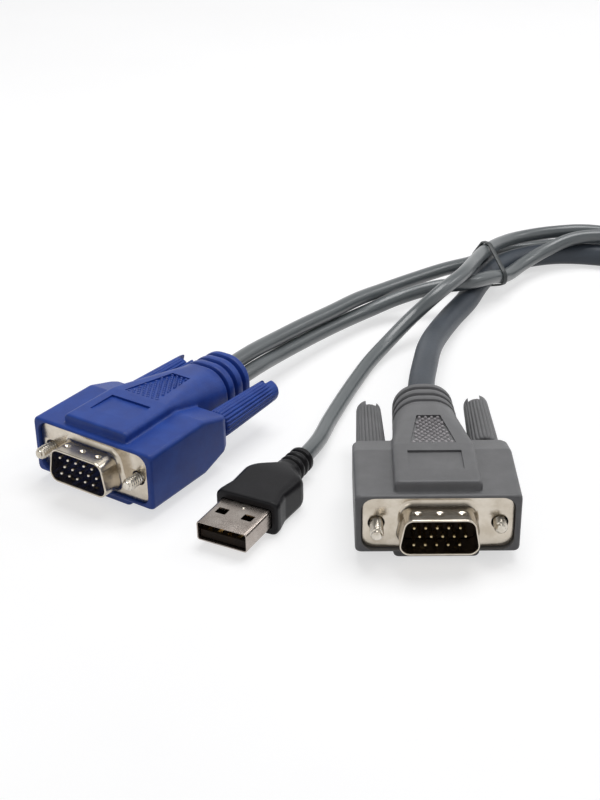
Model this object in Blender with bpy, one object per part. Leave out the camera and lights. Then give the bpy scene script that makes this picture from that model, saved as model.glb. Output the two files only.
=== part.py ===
# KVM cable: a blue and a grey fifteen-pin plug and a black USB plug on round cords.
# Sizes are in millimetres and become metres where the meshes are made.
# Each plug is drawn about its own centre: x to the right as seen from its front,
# y back along the cord, z up, with y = 0 on the face of its flange or shell.

import math

import bmesh
import bpy
import numpy as np
from mathutils import Matrix, Vector
from mathutils.geometry import convex_hull_2d

MM = 0.001

# Fifteen-pin plug: steel flange and D-shaped skirt.
FLANGE_WIDTH = 30.8
FLANGE_HEIGHT = 12.0
FLANGE_THICKNESS = 0.9
FLANGE_CORNER = 2.6
SCREW_SPACING = 25.0
SKIRT_WIDTH = 16.92
SKIRT_HEIGHT = 8.36
SKIRT_SLOPE = 10.0
SKIRT_CORNER = 2.2
SKIRT_LENGTH = 5.9
SKIRT_WALL = 0.45
SKIRT_FLARE = 1.3

# Fifteen-pin plug: pins and the block that holds them.
PIN_DIAMETER = 0.76
PIN_COLUMNS = 5
PIN_PITCH = 2.29
PIN_ROW_SPACING = 1.98
PIN_ROW_SHIFTS = (-0.57, 0.57, -0.57)
PIN_REACH = 5.45
PIN_SEAT = 4.0
BLOCK_WIDTH = 19.4
BLOCK_HEIGHT = 9.8
BLOCK_DEPTH = 7.6
BLOCK_FACE = 0.3
BLOCK_CORNER = 1.5

# Fifteen-pin plug: moulded hood with two ears, a hump and a ribbed collar.
HOOD_WIDTH = 33.6
HOOD_HEIGHT = 13.5
HOOD_RIM = 0.8
HOOD_EDGE = 0.5
EAR_FLAT = 17.9
EAR_LENGTH = 26.4
EAR_REAR_HEIGHT = 8.4
EAR_REAR_WIDTH = 32.2
EAR_CORNER_LENGTH = 1.6
HUMP_START = 0.85
HUMP_WIDTH = 17.8
HUMP_HEIGHT = 18.2
HUMP_FLAT_LENGTH = 16.0
HUMP_CORNER = 1.1
HUMP_FLAT_NARROWING = 0.6
NECK_POSITION = 37.6
NECK_WIDTH = 14.8
NECK_HEIGHT = 14.4
COLLAR_END = 48.6
COLLAR_WIDTH = 14.0
COLLAR_HEIGHT = 13.4
COLLAR_CORNER = 6.0
COLLAR_GROOVES = (39.5, 42.8, 46.1)
COLLAR_GROOVE_WIDTH = 1.1
COLLAR_GROOVE_DEPTH = 0.7
LABEL_START = 6.0
LABEL_LENGTH = 7.5
LABEL_WIDTH = 11.2
LABEL_DEPTH = 0.35
GRIP_START = 16.8
GRIP_LENGTH = 14.4
GRIP_FRONT_WIDTH = 9.4
GRIP_REAR_WIDTH = 5.1
GRIP_DEPTH = 0.4

# Thumbscrews.
THREAD_DIAMETER = 2.84
THREAD_LENGTH = 8.5
SCREW_REACH = 4.5
SHANK_DIAMETER = 2.1
SCREW_BORE = 3.5
SCREW_TIP = 0.6
KNOB_DIAMETER = 6.9
KNOB_REAR_DIAMETER = 5.7
KNOB_LENGTH = 21.3
KNOB_FLUTES = 22
KNOB_FLUTE_DEPTH = 0.28
KNOB_CHAMFER = 0.5
KNOB_SLOT_WIDTH = 2.7
KNOB_SLOT_DEPTH = 2.6
KNOB_SLOT_TURN = 75.0
KNOB_SOCKET = 9.0
KNOB_GAP = 0.3
GREY_SCREW_DRAWS = (0.2, 2.4)
BLUE_SCREW_DRAWS = (0.8, 1.0)

# USB plug.
USB_SHELL_WIDTH = 12.0
USB_SHELL_HEIGHT = 4.5
USB_SHELL_WALL = 0.3
USB_SHELL_CORNER = 0.6
USB_SHELL_LENGTH = 10.4
USB_SHELL_SEAT = 3.2
USB_WINDOW_WIDTH = 2.5
USB_WINDOW_LENGTH = 2.2
USB_WINDOW_POSITION = 5.8
USB_WINDOW_OFFSET = 3.1
USB_TONGUE_HEIGHT = 1.75
USB_TONGUE_START = 0.8
USB_TONGUE_INSET = 0.1
USB_BLOCK_START = 9.2
USB_CONTACTS = 4
USB_CONTACT_PITCH = 2.3
USB_CONTACT_WIDTH = 1.0
USB_CONTACT_THICKNESS = 0.25
USB_CONTACT_LENGTH = 7.4
USB_CONTACT_SLOT = 0.15
USB_BODY_WIDTH = 14.9
USB_BODY_HEIGHT = 8.0
USB_BODY_CORNER = 1.6
USB_BODY_EDGE = 0.5
USB_BODY_STRAIGHT = 1.6
USB_WAIST_POSITION = 15.6
USB_WAIST_WIDTH = 13.3
USB_BULGE_POSITION = 21.8
USB_BULGE_WIDTH = 14.3
USB_NECK_POSITION = 28.2
USB_NECK_DIAMETER = 6.6
USB_COLLAR_END = 36.0
USB_COLLAR_DIAMETER = 6.0
USB_COLLAR_GROOVES = (29.9, 32.0, 34.1)
USB_COLLAR_GROOVE_WIDTH = 0.9
USB_COLLAR_GROOVE_DEPTH = 0.5

# Cords. The trunk leaves the grey plug and the legs leave the other two.
TRUNK_DIAMETER = 6.4
LEG_DIAMETER = 3.9
USB_LEG_DIAMETER = 3.8
LEG_EXIT_X = 1.15
LEG_EXIT_Z = 1.75
SOCKET_DEPTH = 1.5
SOCKET_CLEARANCE = 0.25
CORD_GAP = 0.3

# Coil, junction and ties.
COIL_CENTRE = (179.3, 77.1)
COIL_MEAN_RADIUS = 36.0
COIL_TURN_PITCH = 6.6
COIL_TURNS_ACROSS = 4
COIL_LAYERS = 2
COIL_LIFT = 1.2
COIL_EDGE = 2.6
COIL_TIE_ANGLE = -50.0
JUNCTION_START = 129.6
JUNCTION_END = 152.2
JUNCTION_Y = 122.95
JUNCTION_Z = 4.6
JUNCTION_LEG_SPACING = 4.45
JUNCTION_LEG_WIDTH = 15.4
JUNCTION_TRUNK_WIDTH = 9.2
JUNCTION_HEIGHT = 8.2
JUNCTION_CORNER = 2.6
JUNCTION_SHOULDER = 11.0
TIE_POINT = (62.6, 104.6)
TIE_DIRECTION = 22.0
TIE_WIDTH = 1.4
TIE_THICKNESS = 0.7
TIE_CLEARANCE = 0.3

# General clearance between two pieces that sit in each other.
SEAT = 0.15
BORE_CLEARANCE = 0.1

# Poses of the plugs on the table: x, y and the turn about the vertical.
BLUE_POSE = (-37.9, -7.8, -34.6)
GREY_POSE = (34.8, -34.4, -1.0)
USB_POSE = (-9.4, -30.8, -28.2)

# Route points of the cords between their two ends, read from the photograph up to the tie.
LEG_ONE_ROUTE = [
    (-4.4, 43.5, 10.4), (2.3, 53.4, 9.5), (8.4, 61.3, 9.1), (16.0, 70.5, 8.6),
    (23.7, 79.7, 8.25), (30.7, 86.9, 7.6), (39.8, 94.8, 7.3), (49.2, 102.1, 7.1),
    (59.0, 108.9, 6.6), (65.3, 118.9, 5.4), (72.2, 125.8, 3.6), (82.9, 131.0, 2.3),
    (94.7, 132.5, 2.1), (104.7, 131.8, 2.3), (116.5, 129.6, 3.2), (124.0, 127.9, 4.2)]
LEG_TWO_ROUTE = [
    (-3.7, 40.5, 7.05), (1.2, 49.2, 6.05), (6.9, 57.4, 5.45), (13.0, 65.3, 5.0),
    (19.5, 72.9, 4.5), (26.8, 79.8, 4.5), (35.2, 84.7, 6.1), (44.8, 85.9, 8.1),
    (54.3, 87.6, 9.0), (61.7, 94.1, 7.8), (67.5, 102.0, 5.1), (73.4, 110.0, 5.1),
    (80.9, 116.4, 6.6), (89.8, 120.3, 8.7), (99.7, 121.2, 8.9), (109.5, 120.4, 7.3),
    (119.3, 119.2, 5.6), (124.5, 118.7, 4.9)]
USB_LEG_ROUTE = [
    (11.5, 11.1, 3.0), (14.0, 20.7, 2.3), (17.6, 32.2, 2.0), (20.9, 41.6, 1.95),
    (25.4, 52.7, 2.3), (30.4, 61.3, 3.5), (37.8, 69.7, 7.2), (45.2, 74.7, 11.8),
    (52.4, 83.8, 13.3), (57.0, 94.9, 12.4), (60.8, 104.1, 11.4), (66.8, 114.3, 10.0),
    (73.8, 121.4, 9.0), (84.8, 125.7, 8.8), (94.8, 126.4, 8.8), (106.7, 125.4, 7.3),
    (116.5, 124.0, 5.7), (124.0, 123.1, 4.8)]
TRUNK_ROUTE = [
    (36.5, 26.8, 8.7), (38.7, 40.6, 7.8), (40.8, 52.3, 6.4), (43.9, 63.8, 4.7),
    (48.9, 76.8, 3.6), (54.3, 87.5, 3.6), (59.3, 98.6, 4.5), (66.1, 110.4, 4.3),
    (74.6, 118.6, 3.5), (85.6, 122.0, 3.35), (97.5, 120.2, 3.35), (109.6, 114.8, 3.35),
    (121.6, 107.4, 3.7), (130.9, 98.4, 4.3)]

for item in list(bpy.data.objects):
    bpy.data.objects.remove(item, do_unlink=True)

part = bpy.data.collections.new("kvm_cable")
cutters = bpy.data.collections.new("kvm_cable_cutters")
for group in (part, cutters):
    bpy.context.scene.collection.children.link(group)


def material(name, colour, metallic=0.0, roughness=0.5):
    """A Principled material with one plain colour."""
    made = bpy.data.materials.new(name)
    made.use_nodes = True
    shader = made.node_tree.nodes["Principled BSDF"]
    shader.inputs["Base Color"].default_value = (*colour, 1.0)
    shader.inputs["Metallic"].default_value = metallic
    shader.inputs["Roughness"].default_value = roughness
    return made


def add(name, bm, pose=None, colour=None, cutter=False):
    """Turn a bmesh in millimetres into an object in metres."""
    bmesh.ops.recalc_face_normals(bm, faces=bm.faces)
    bmesh.ops.scale(bm, vec=(MM, MM, MM), verts=bm.verts)
    mesh = bpy.data.meshes.new(name)
    bm.to_mesh(mesh)
    bm.free()
    made = bpy.data.objects.new(name, mesh)
    (cutters if cutter else part).objects.link(made)
    if pose is not None:
        made.matrix_world = pose
    if cutter:
        made.hide_render = True
        made.display_type = "WIRE"
    elif colour is not None:
        mesh.materials.append(colour)
    return made


def combine(target, tool, operation="DIFFERENCE"):
    """Put an exact Boolean of the tool on the target."""
    change = target.modifiers.new(tool.name, "BOOLEAN")
    change.operation = operation
    change.solver = "EXACT"
    change.object = tool
    return change


def rounded(corners, radius, steps=4):
    """Round each corner of a closed outline with an arc."""
    out = []
    count = len(corners)
    for index, corner in enumerate(corners):
        here = Vector(corner)
        before = (Vector(corners[index - 1]) - here).normalized()
        after = (Vector(corners[(index + 1) % count]) - here).normalized()
        half = before.angle(after) / 2
        reach = radius / math.tan(half)
        centre = here + (before + after).normalized() * (radius / math.sin(half))
        start = here + before * reach - centre
        sweep = math.pi - 2 * half
        turn = 1 if before.x * after.y - before.y * after.x < 0 else -1
        for step in range(steps + 1):
            angle = turn * sweep * step / steps
            c, s = math.cos(angle), math.sin(angle)
            out.append((centre.x + start.x * c - start.y * s,
                        centre.y + start.x * s + start.y * c))
    return out


def rectangle(width, height, radius, steps=4):
    """A rounded rectangle about the centre, with its radius kept inside its sides."""
    w, h = width / 2, height / 2
    radius = min(radius, 0.98 * w, 0.98 * h)
    return rounded([(-w, -h), (w, -h), (w, h), (-w, h)], radius, steps)


def skirt_outline(inset):
    """The D shape of the skirt, wide side down, moved inwards by the inset."""
    lean = math.tan(math.radians(SKIRT_SLOPE))
    w = SKIRT_WIDTH / 2 - inset
    h = SKIRT_HEIGHT / 2 - inset
    top = w - 2 * h * lean
    return rounded([(-w, -h), (w, -h), (top, h), (-top, h)], SKIRT_CORNER - inset)


def circle(radius, count, x=0.0, z=0.0, turn=0.0):
    return [(x + radius * math.cos(2 * math.pi * k / count + turn),
             z + radius * math.sin(2 * math.pi * k / count + turn)) for k in range(count)]


def loft(rings, bm=None):
    """Skin a row of outlines, each given as (y, points), and close both ends."""
    bm = bm or bmesh.new()
    rows = [[bm.verts.new((x, y, z)) for x, z in points] for y, points in rings]
    count = len(rows[0])
    for low, high in zip(rows, rows[1:]):
        for k in range(count):
            bm.faces.new((low[k], low[(k + 1) % count], high[(k + 1) % count], high[k]))
    bm.faces.new(rows[0])
    bm.faces.new(rows[-1][::-1])
    return bm


def prism(points, start, end, bm=None):
    return loft([(start, points), (end, points)], bm)


def turned(profile, count=16, x=0.0, z=0.0, bm=None):
    """A turned solid along y from (y, radius) pairs."""
    return loft([(y, circle(radius, count, x, z)) for y, radius in profile], bm)


def grooves(positions, width, depth, start, end, size):
    """Rings of a ribbed collar: size(y) gives the outline of the full rib."""
    rings = []
    for centre in positions:
        for offset, cut in ((-0.5, 0.0), (-0.3, depth), (0.3, depth), (0.5, 0.0)):
            y = centre + offset * width
            if start < y < end:
                rings.append((y, size(y, cut)))
    return rings


def blend(y, start, end, first, last):
    return first + (last - first) * (y - start) / (end - start)


def place(pose, height):
    x, y, turn = pose
    return (Matrix.Translation((x * MM, y * MM, height * MM))
            @ Matrix.Rotation(math.radians(turn), 4, "Z"))


hood_blue = material("blue_moulded_pvc", (0.020, 0.060, 0.300), 0.0, 0.42)
hood_grey = material("grey_moulded_pvc", (0.165, 0.165, 0.165), 0.0, 0.48)
navy_block = material("navy_insulator", (0.012, 0.018, 0.055), 0.0, 0.5)
black_block = material("black_insulator", (0.010, 0.010, 0.010), 0.0, 0.5)
nickel = material("nickel_plated_steel", (0.62, 0.58, 0.52), 1.0, 0.28)
pin_metal = material("nickel_plated_pin", (0.80, 0.78, 0.72), 1.0, 0.22)
screw_metal = material("nickel_plated_screw", (0.60, 0.57, 0.52), 1.0, 0.3)
contact_metal = material("gold_plated_contact", (0.80, 0.58, 0.24), 1.0, 0.25)
black_pvc = material("black_moulded_pvc", (0.020, 0.020, 0.022), 0.0, 0.45)
leg_jacket = material("grey_leg_jacket", (0.110, 0.125, 0.125), 0.0, 0.3)
trunk_jacket = material("grey_trunk_jacket", (0.080, 0.090, 0.100), 0.0, 0.5)
tie_material = material("black_tie", (0.015, 0.020, 0.020), 0.0, 0.5)


def hump_outline(y, cut=0.0):
    """The hump and collar: outline at a distance y behind the flange face."""
    flat_end = HUMP_START + HUMP_FLAT_LENGTH
    if y <= flat_end:
        width = blend(y, HUMP_START, flat_end, HUMP_WIDTH, HUMP_WIDTH - HUMP_FLAT_NARROWING)
        height, corner = HUMP_HEIGHT, HUMP_CORNER
    elif y <= NECK_POSITION:
        width = blend(y, flat_end, NECK_POSITION, HUMP_WIDTH - HUMP_FLAT_NARROWING, NECK_WIDTH)
        height = blend(y, flat_end, NECK_POSITION, HUMP_HEIGHT, NECK_HEIGHT)
        corner = blend(y, flat_end, NECK_POSITION, HUMP_CORNER, COLLAR_CORNER)
    else:
        width = blend(y, NECK_POSITION, COLLAR_END, NECK_WIDTH, COLLAR_WIDTH)
        height = blend(y, NECK_POSITION, COLLAR_END, NECK_HEIGHT, COLLAR_HEIGHT)
        corner = COLLAR_CORNER
    return rectangle(width - 2 * cut, height - 2 * cut, corner - 0.6 * cut)


def make_fifteen_pin_plug(colour_name, pose, hood_colour, block_colour, cord_exits, screw_draws):
    """One plug with its hood, shell, block, pins and two thumbscrews."""
    pose = place(pose, HUMP_HEIGHT / 2)
    prefix = colour_name + "_plug_"

    def node(name, bm, colour):
        return add(prefix + name, bm, pose, colour)

    def cutter(name, bm):
        return add(prefix + name + "_cutter", bm, pose, cutter=True)

    # Steel shell: flange and skirt in one pressing.
    shell = node("shell", prism(rectangle(FLANGE_WIDTH, FLANGE_HEIGHT, FLANGE_CORNER),
                                0.0, FLANGE_THICKNESS), nickel)
    skirt = cutter("skirt", loft([
        (-SKIRT_LENGTH, skirt_outline(0.25 * SKIRT_WALL)),
        (-SKIRT_LENGTH + 0.4, skirt_outline(0.0)),
        (-SKIRT_FLARE, skirt_outline(0.0)),
        (-0.45 * SKIRT_FLARE, skirt_outline(-0.2 * SKIRT_FLARE)),
        (-0.12 * SKIRT_FLARE, skirt_outline(-0.55 * SKIRT_FLARE)),
        (0.5 * FLANGE_THICKNESS, skirt_outline(-SKIRT_FLARE))]))
    combine(shell, skirt, "UNION")
    combine(shell, cutter("mouth", prism(skirt_outline(SKIRT_WALL), -SKIRT_LENGTH - 1,
                                         FLANGE_THICKNESS + 1)))
    holes = bmesh.new()
    for side in (-1, 1):
        turned([(-1, SCREW_BORE / 2), (FLANGE_THICKNESS + 1, SCREW_BORE / 2)], 16,
               side * SCREW_SPACING / 2, bm=holes)
    combine(shell, cutter("flange_holes", holes))

    # Insulating block: a D-shaped face inside the skirt on a wider rear block.
    block_start = FLANGE_THICKNESS + SEAT
    block = node("insulator", prism(rectangle(BLOCK_WIDTH, BLOCK_HEIGHT, BLOCK_CORNER),
                                    block_start, BLOCK_DEPTH), block_colour)
    combine(block, cutter("insulator_face", prism(skirt_outline(SKIRT_WALL + SEAT),
                                                  -BLOCK_FACE, block_start + 1)), "UNION")
    pin_places = [(shift + (column - (PIN_COLUMNS - 1) / 2) * PIN_PITCH,
                   (1 - row) * PIN_ROW_SPACING)
                  for row, shift in enumerate(PIN_ROW_SHIFTS) for column in range(PIN_COLUMNS)]
    bores = bmesh.new()
    for x, z in pin_places:
        turned([(-BLOCK_FACE - 1, PIN_DIAMETER / 2 + BORE_CLEARANCE),
                (PIN_SEAT + BORE_CLEARANCE, PIN_DIAMETER / 2 + BORE_CLEARANCE)], 8, x, z, bores)
    combine(block, cutter("pin_bores", bores))
    for number, (x, z) in enumerate(pin_places, 1):
        radius = PIN_DIAMETER / 2
        node("pin_%02d" % number, turned([
            (-PIN_REACH, 0.45 * radius), (-PIN_REACH + 0.35 * PIN_DIAMETER, radius),
            (PIN_SEAT, radius)], 8, x, z), pin_metal)

    # Hood: ears, then the hump and its collar joined on, then the hollows.
    def ear_ring(y, width, height, shrink=0.0):
        return (y, rectangle(width - 2 * shrink, height - 2 * shrink, 1.0, 3))

    corner_start = EAR_LENGTH - EAR_CORNER_LENGTH
    hood = node("hood", loft([
        ear_ring(-HOOD_RIM, HOOD_WIDTH, HOOD_HEIGHT, 0.6 * HOOD_EDGE),
        ear_ring(-HOOD_RIM + HOOD_EDGE, HOOD_WIDTH, HOOD_HEIGHT),
        ear_ring(EAR_FLAT, HOOD_WIDTH, HOOD_HEIGHT),
        ear_ring(corner_start, HOOD_WIDTH,
                 blend(corner_start, EAR_FLAT, EAR_LENGTH, HOOD_HEIGHT, EAR_REAR_HEIGHT)),
        ear_ring(EAR_LENGTH, EAR_REAR_WIDTH, EAR_REAR_HEIGHT)]), hood_colour)
    flat_end = HUMP_START + HUMP_FLAT_LENGTH
    rings = [(HUMP_START, hump_outline(HUMP_START, HOOD_EDGE)),
             (HUMP_START + HOOD_EDGE, hump_outline(HUMP_START)),
             (flat_end - 2.0, hump_outline(flat_end - 2.0)),
             (flat_end + 2.0, hump_outline(flat_end + 2.0)),
             (NECK_POSITION, hump_outline(NECK_POSITION))]
    rings += grooves(COLLAR_GROOVES, COLLAR_GROOVE_WIDTH, COLLAR_GROOVE_DEPTH,
                     NECK_POSITION, COLLAR_END - HOOD_EDGE, hump_outline)
    rings += [(COLLAR_END - HOOD_EDGE, hump_outline(COLLAR_END - HOOD_EDGE)),
              (COLLAR_END, hump_outline(COLLAR_END, HOOD_EDGE))]
    combine(hood, cutter("hump", loft(rings)), "UNION")
    combine(hood, cutter("flange_pocket", prism(
        rectangle(FLANGE_WIDTH + 2 * SEAT, FLANGE_HEIGHT + 2 * SEAT, FLANGE_CORNER + SEAT),
        -HOOD_RIM - 1, FLANGE_THICKNESS + SEAT)))
    combine(hood, cutter("block_pocket", prism(
        rectangle(BLOCK_WIDTH + 2 * SEAT, BLOCK_HEIGHT + 2 * SEAT, BLOCK_CORNER + SEAT),
        -HOOD_RIM - 1, BLOCK_DEPTH + SEAT)))
    passages = bmesh.new()
    for side in (-1, 1):
        turned([(-HOOD_RIM - 1, SCREW_BORE / 2), (EAR_LENGTH + 1, SCREW_BORE / 2)], 16,
               side * SCREW_SPACING / 2, bm=passages)
    combine(hood, cutter("screw_bores", passages))
    for number, (x, z, diameter) in enumerate(cord_exits, 1):
        radius = diameter / 2 + SOCKET_CLEARANCE
        combine(hood, cutter("cord_socket_%d" % number, turned(
            [(COLLAR_END - SOCKET_DEPTH, radius), (COLLAR_END + 1, radius)], 16, x, z)))

    # Shallow fields on the hump: a bare label panel and the grip panel behind it.
    top = HUMP_HEIGHT / 2
    panel = bmesh.new()
    bmesh.ops.create_cube(panel, size=1.0, matrix=(
        Matrix.Translation((0, LABEL_START + LABEL_LENGTH / 2, top))
        @ Matrix.Diagonal((LABEL_WIDTH, LABEL_LENGTH, 2 * LABEL_DEPTH, 1))))
    combine(hood, cutter("label_panel", panel))
    grip_end = GRIP_START + GRIP_LENGTH
    grip = []
    for y, width in ((GRIP_START, GRIP_FRONT_WIDTH), (grip_end, GRIP_REAR_WIDTH)):
        roof = max(z for _, z in hump_outline(y))
        floor = roof - GRIP_DEPTH
        grip.append((y, [(-width / 2, floor), (width / 2, floor),
                         (width / 2, roof + 3), (-width / 2, roof + 3)]))
    combine(hood, cutter("grip_panel", loft(grip)))

    # Thumbscrews: a steel screw with a fluted moulded knob on its rear end.
    for side, label, screw_draw in ((-1, "left", screw_draws[0]), (1, "right", screw_draws[1])):
        x = side * SCREW_SPACING / 2
        knob_start = EAR_LENGTH + KNOB_GAP + screw_draw
        screw_start = -HOOD_RIM - SCREW_REACH + screw_draw
        thread, shank = THREAD_DIAMETER / 2, SHANK_DIAMETER / 2
        screw_end = knob_start + KNOB_SOCKET - BORE_CLEARANCE
        node("screw_" + label, turned([
            (screw_start, thread - SCREW_TIP), (screw_start + SCREW_TIP, thread),
            (screw_start + THREAD_LENGTH, thread),
            (screw_start + THREAD_LENGTH + 0.5, shank),
            (knob_start - 1.0, shank), (knob_start - 0.6, thread),
            (screw_end, thread)], 16, x), screw_metal)

        def fluted(diameter):
            return [(x + (diameter / 2 - (k % 2) * KNOB_FLUTE_DEPTH)
                     * math.cos(math.pi * k / KNOB_FLUTES),
                     (diameter / 2 - (k % 2) * KNOB_FLUTE_DEPTH)
                     * math.sin(math.pi * k / KNOB_FLUTES)) for k in range(2 * KNOB_FLUTES)]

        knob_end = knob_start + KNOB_LENGTH
        knob = node("knob_" + label, loft([
            (knob_start, fluted(KNOB_DIAMETER - 2 * KNOB_CHAMFER)),
            (knob_start + KNOB_CHAMFER, fluted(KNOB_DIAMETER)),
            (knob_end - KNOB_CHAMFER, fluted(KNOB_REAR_DIAMETER)),
            (knob_end, fluted(KNOB_REAR_DIAMETER - 2 * KNOB_CHAMFER))]), hood_colour)
        combine(knob, cutter("knob_socket_" + label, turned([
            (knob_start - 1, thread + BORE_CLEARANCE),
            (knob_start + KNOB_SOCKET, thread + BORE_CLEARANCE)], 16, x)))
        slot = bmesh.new()
        bmesh.ops.create_cube(slot, size=1.0, matrix=(
            Matrix.Translation((x, knob_end, 0))
            @ Matrix.Rotation(math.radians(KNOB_SLOT_TURN * side), 4, "Y")
            @ Matrix.Diagonal((KNOB_DIAMETER + 2, 2 * KNOB_SLOT_DEPTH, KNOB_SLOT_WIDTH, 1))))
        combine(knob, cutter("knob_slot_" + label, slot))
    return pose


leg_exits = ((-LEG_EXIT_X, LEG_EXIT_Z), (LEG_EXIT_X, -LEG_EXIT_Z))
blue_pose = make_fifteen_pin_plug("blue", BLUE_POSE, hood_blue, navy_block,
                                  [(x, z, LEG_DIAMETER) for x, z in leg_exits],
                                  BLUE_SCREW_DRAWS)
grey_pose = make_fifteen_pin_plug("grey", GREY_POSE, hood_grey, black_block,
                                  [(0.0, 0.0, TRUNK_DIAMETER)], GREY_SCREW_DRAWS)

# USB plug: moulded body with a ribbed collar, steel shell, tongue and four contacts.
usb_pose = place(USB_POSE, USB_BODY_HEIGHT / 2)


def usb_collar(y, cut=0.0):
    diameter = blend(y, USB_NECK_POSITION, USB_COLLAR_END, USB_NECK_DIAMETER,
                     USB_COLLAR_DIAMETER) - 2 * cut
    return rectangle(diameter, diameter, diameter / 2, 4)


usb_rings = [
    (USB_SHELL_LENGTH, rectangle(USB_BODY_WIDTH - 2 * USB_BODY_EDGE,
                                 USB_BODY_HEIGHT - 2 * USB_BODY_EDGE, USB_BODY_CORNER)),
    (USB_SHELL_LENGTH + USB_BODY_EDGE, rectangle(USB_BODY_WIDTH, USB_BODY_HEIGHT,
                                                 USB_BODY_CORNER)),
    (USB_SHELL_LENGTH + USB_BODY_STRAIGHT, rectangle(USB_BODY_WIDTH, USB_BODY_HEIGHT,
                                                     USB_BODY_CORNER))]
waist_start = USB_SHELL_LENGTH + USB_BODY_STRAIGHT
for share in (0.5, 1.0):
    usb_rings.append((blend(share, 0, 1, waist_start, USB_WAIST_POSITION),
                      rectangle(blend(share, 0, 1, USB_BODY_WIDTH, USB_WAIST_WIDTH),
                                USB_BODY_HEIGHT, USB_BODY_CORNER)))
for share in (0.5, 1.0):
    usb_rings.append((blend(share, 0, 1, USB_WAIST_POSITION, USB_BULGE_POSITION),
                      rectangle(blend(share, 0, 1, USB_WAIST_WIDTH, USB_BULGE_WIDTH),
                                USB_BODY_HEIGHT, USB_BODY_CORNER + 0.5 * share)))
for share in (0.25, 0.5, 0.75, 1.0):
    y = blend(share, 0, 1, USB_BULGE_POSITION, USB_NECK_POSITION)
    ease = (1 - math.cos(math.pi * share ** 1.25)) / 2
    height = blend(share ** 2, 0, 1, USB_BODY_HEIGHT, USB_NECK_DIAMETER)
    usb_rings.append((y, rectangle(blend(ease, 0, 1, USB_BULGE_WIDTH, USB_NECK_DIAMETER),
                                   height, blend(share, 0, 1, USB_BODY_CORNER + 0.5,
                                                 USB_NECK_DIAMETER / 2))))
usb_rings += grooves(USB_COLLAR_GROOVES, USB_COLLAR_GROOVE_WIDTH, USB_COLLAR_GROOVE_DEPTH,
                     USB_NECK_POSITION, USB_COLLAR_END - USB_BODY_EDGE, usb_collar)
usb_rings += [(USB_COLLAR_END - USB_BODY_EDGE, usb_collar(USB_COLLAR_END - USB_BODY_EDGE)),
              (USB_COLLAR_END, usb_collar(USB_COLLAR_END, 0.6 * USB_BODY_EDGE))]
usb_body = add("usb_plug_body", loft(usb_rings), usb_pose, black_pvc)
shell_rear = USB_SHELL_LENGTH + USB_SHELL_SEAT
combine(usb_body, add("usb_shell_pocket_cutter", prism(
    rectangle(USB_SHELL_WIDTH + 2 * SEAT, USB_SHELL_HEIGHT + 2 * SEAT, USB_SHELL_CORNER + SEAT),
    USB_SHELL_LENGTH - 1, shell_rear + SEAT), usb_pose, cutter=True))
socket = USB_LEG_DIAMETER / 2 + SOCKET_CLEARANCE
combine(usb_body, add("usb_cord_socket_cutter", turned([
    (USB_COLLAR_END - SOCKET_DEPTH, socket), (USB_COLLAR_END + 1, socket)]),
    usb_pose, cutter=True))

usb_shell = add("usb_plug_shell", prism(rectangle(USB_SHELL_WIDTH, USB_SHELL_HEIGHT,
                                                  USB_SHELL_CORNER), 0.0, shell_rear),
                usb_pose, nickel)
inner_width = USB_SHELL_WIDTH - 2 * USB_SHELL_WALL
inner_height = USB_SHELL_HEIGHT - 2 * USB_SHELL_WALL
inner_corner = max(USB_SHELL_CORNER - USB_SHELL_WALL, 0.1)
combine(usb_shell, add("usb_shell_mouth_cutter", prism(
    rectangle(inner_width, inner_height, inner_corner), -1, shell_rear + 1),
    usb_pose, cutter=True))
windows = bmesh.new()
for side in (-1, 1):
    bmesh.ops.create_cube(windows, size=1.0, matrix=(
        Matrix.Translation((side * USB_WINDOW_OFFSET, USB_WINDOW_POSITION, 0))
        @ Matrix.Diagonal((USB_WINDOW_WIDTH, USB_WINDOW_LENGTH, USB_SHELL_HEIGHT + 2, 1))))
combine(usb_shell, add("usb_window_cutter", windows, usb_pose, cutter=True))

tongue_base = -inner_height / 2 + SEAT + USB_TONGUE_INSET
tongue_top = tongue_base + USB_TONGUE_HEIGHT
tongue_half = inner_width / 2 - SEAT - USB_TONGUE_INSET
tongue = add("usb_plug_tongue", prism(
    [(-tongue_half, tongue_base), (tongue_half, tongue_base),
     (tongue_half, tongue_top), (-tongue_half, tongue_top)],
    USB_TONGUE_START, USB_BLOCK_START + 1), usb_pose, black_block)
combine(tongue, add("usb_tongue_block_cutter", prism(
    rectangle(inner_width - 2 * SEAT, inner_height - 2 * SEAT, inner_corner),
    USB_BLOCK_START, shell_rear), usb_pose, cutter=True), "UNION")
slots = bmesh.new()
contact_start = USB_TONGUE_START + 0.6
contact_places = [(number - (USB_CONTACTS - 1) / 2) * USB_CONTACT_PITCH
                  for number in range(USB_CONTACTS)]
for x in contact_places:
    half = USB_CONTACT_WIDTH / 2 + BORE_CLEARANCE
    prism([(x - half, tongue_top - USB_CONTACT_SLOT), (x + half, tongue_top - USB_CONTACT_SLOT),
           (x + half, tongue_top + USB_CONTACT_THICKNESS + BORE_CLEARANCE),
           (x - half, tongue_top + USB_CONTACT_THICKNESS + BORE_CLEARANCE)],
          contact_start - BORE_CLEARANCE, contact_start + USB_CONTACT_LENGTH + BORE_CLEARANCE,
          slots)
combine(tongue, add("usb_contact_slot_cutter", slots, usb_pose, cutter=True))
for number, x in enumerate(contact_places, 1):
    low = tongue_top - USB_CONTACT_SLOT + 0.05
    half = USB_CONTACT_WIDTH / 2
    add("usb_plug_contact_%d" % number, prism(
        [(x - half, low), (x + half, low), (x + half, low + USB_CONTACT_THICKNESS),
         (x - half, low + USB_CONTACT_THICKNESS)],
        contact_start, contact_start + USB_CONTACT_LENGTH), usb_pose, contact_metal)


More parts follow.
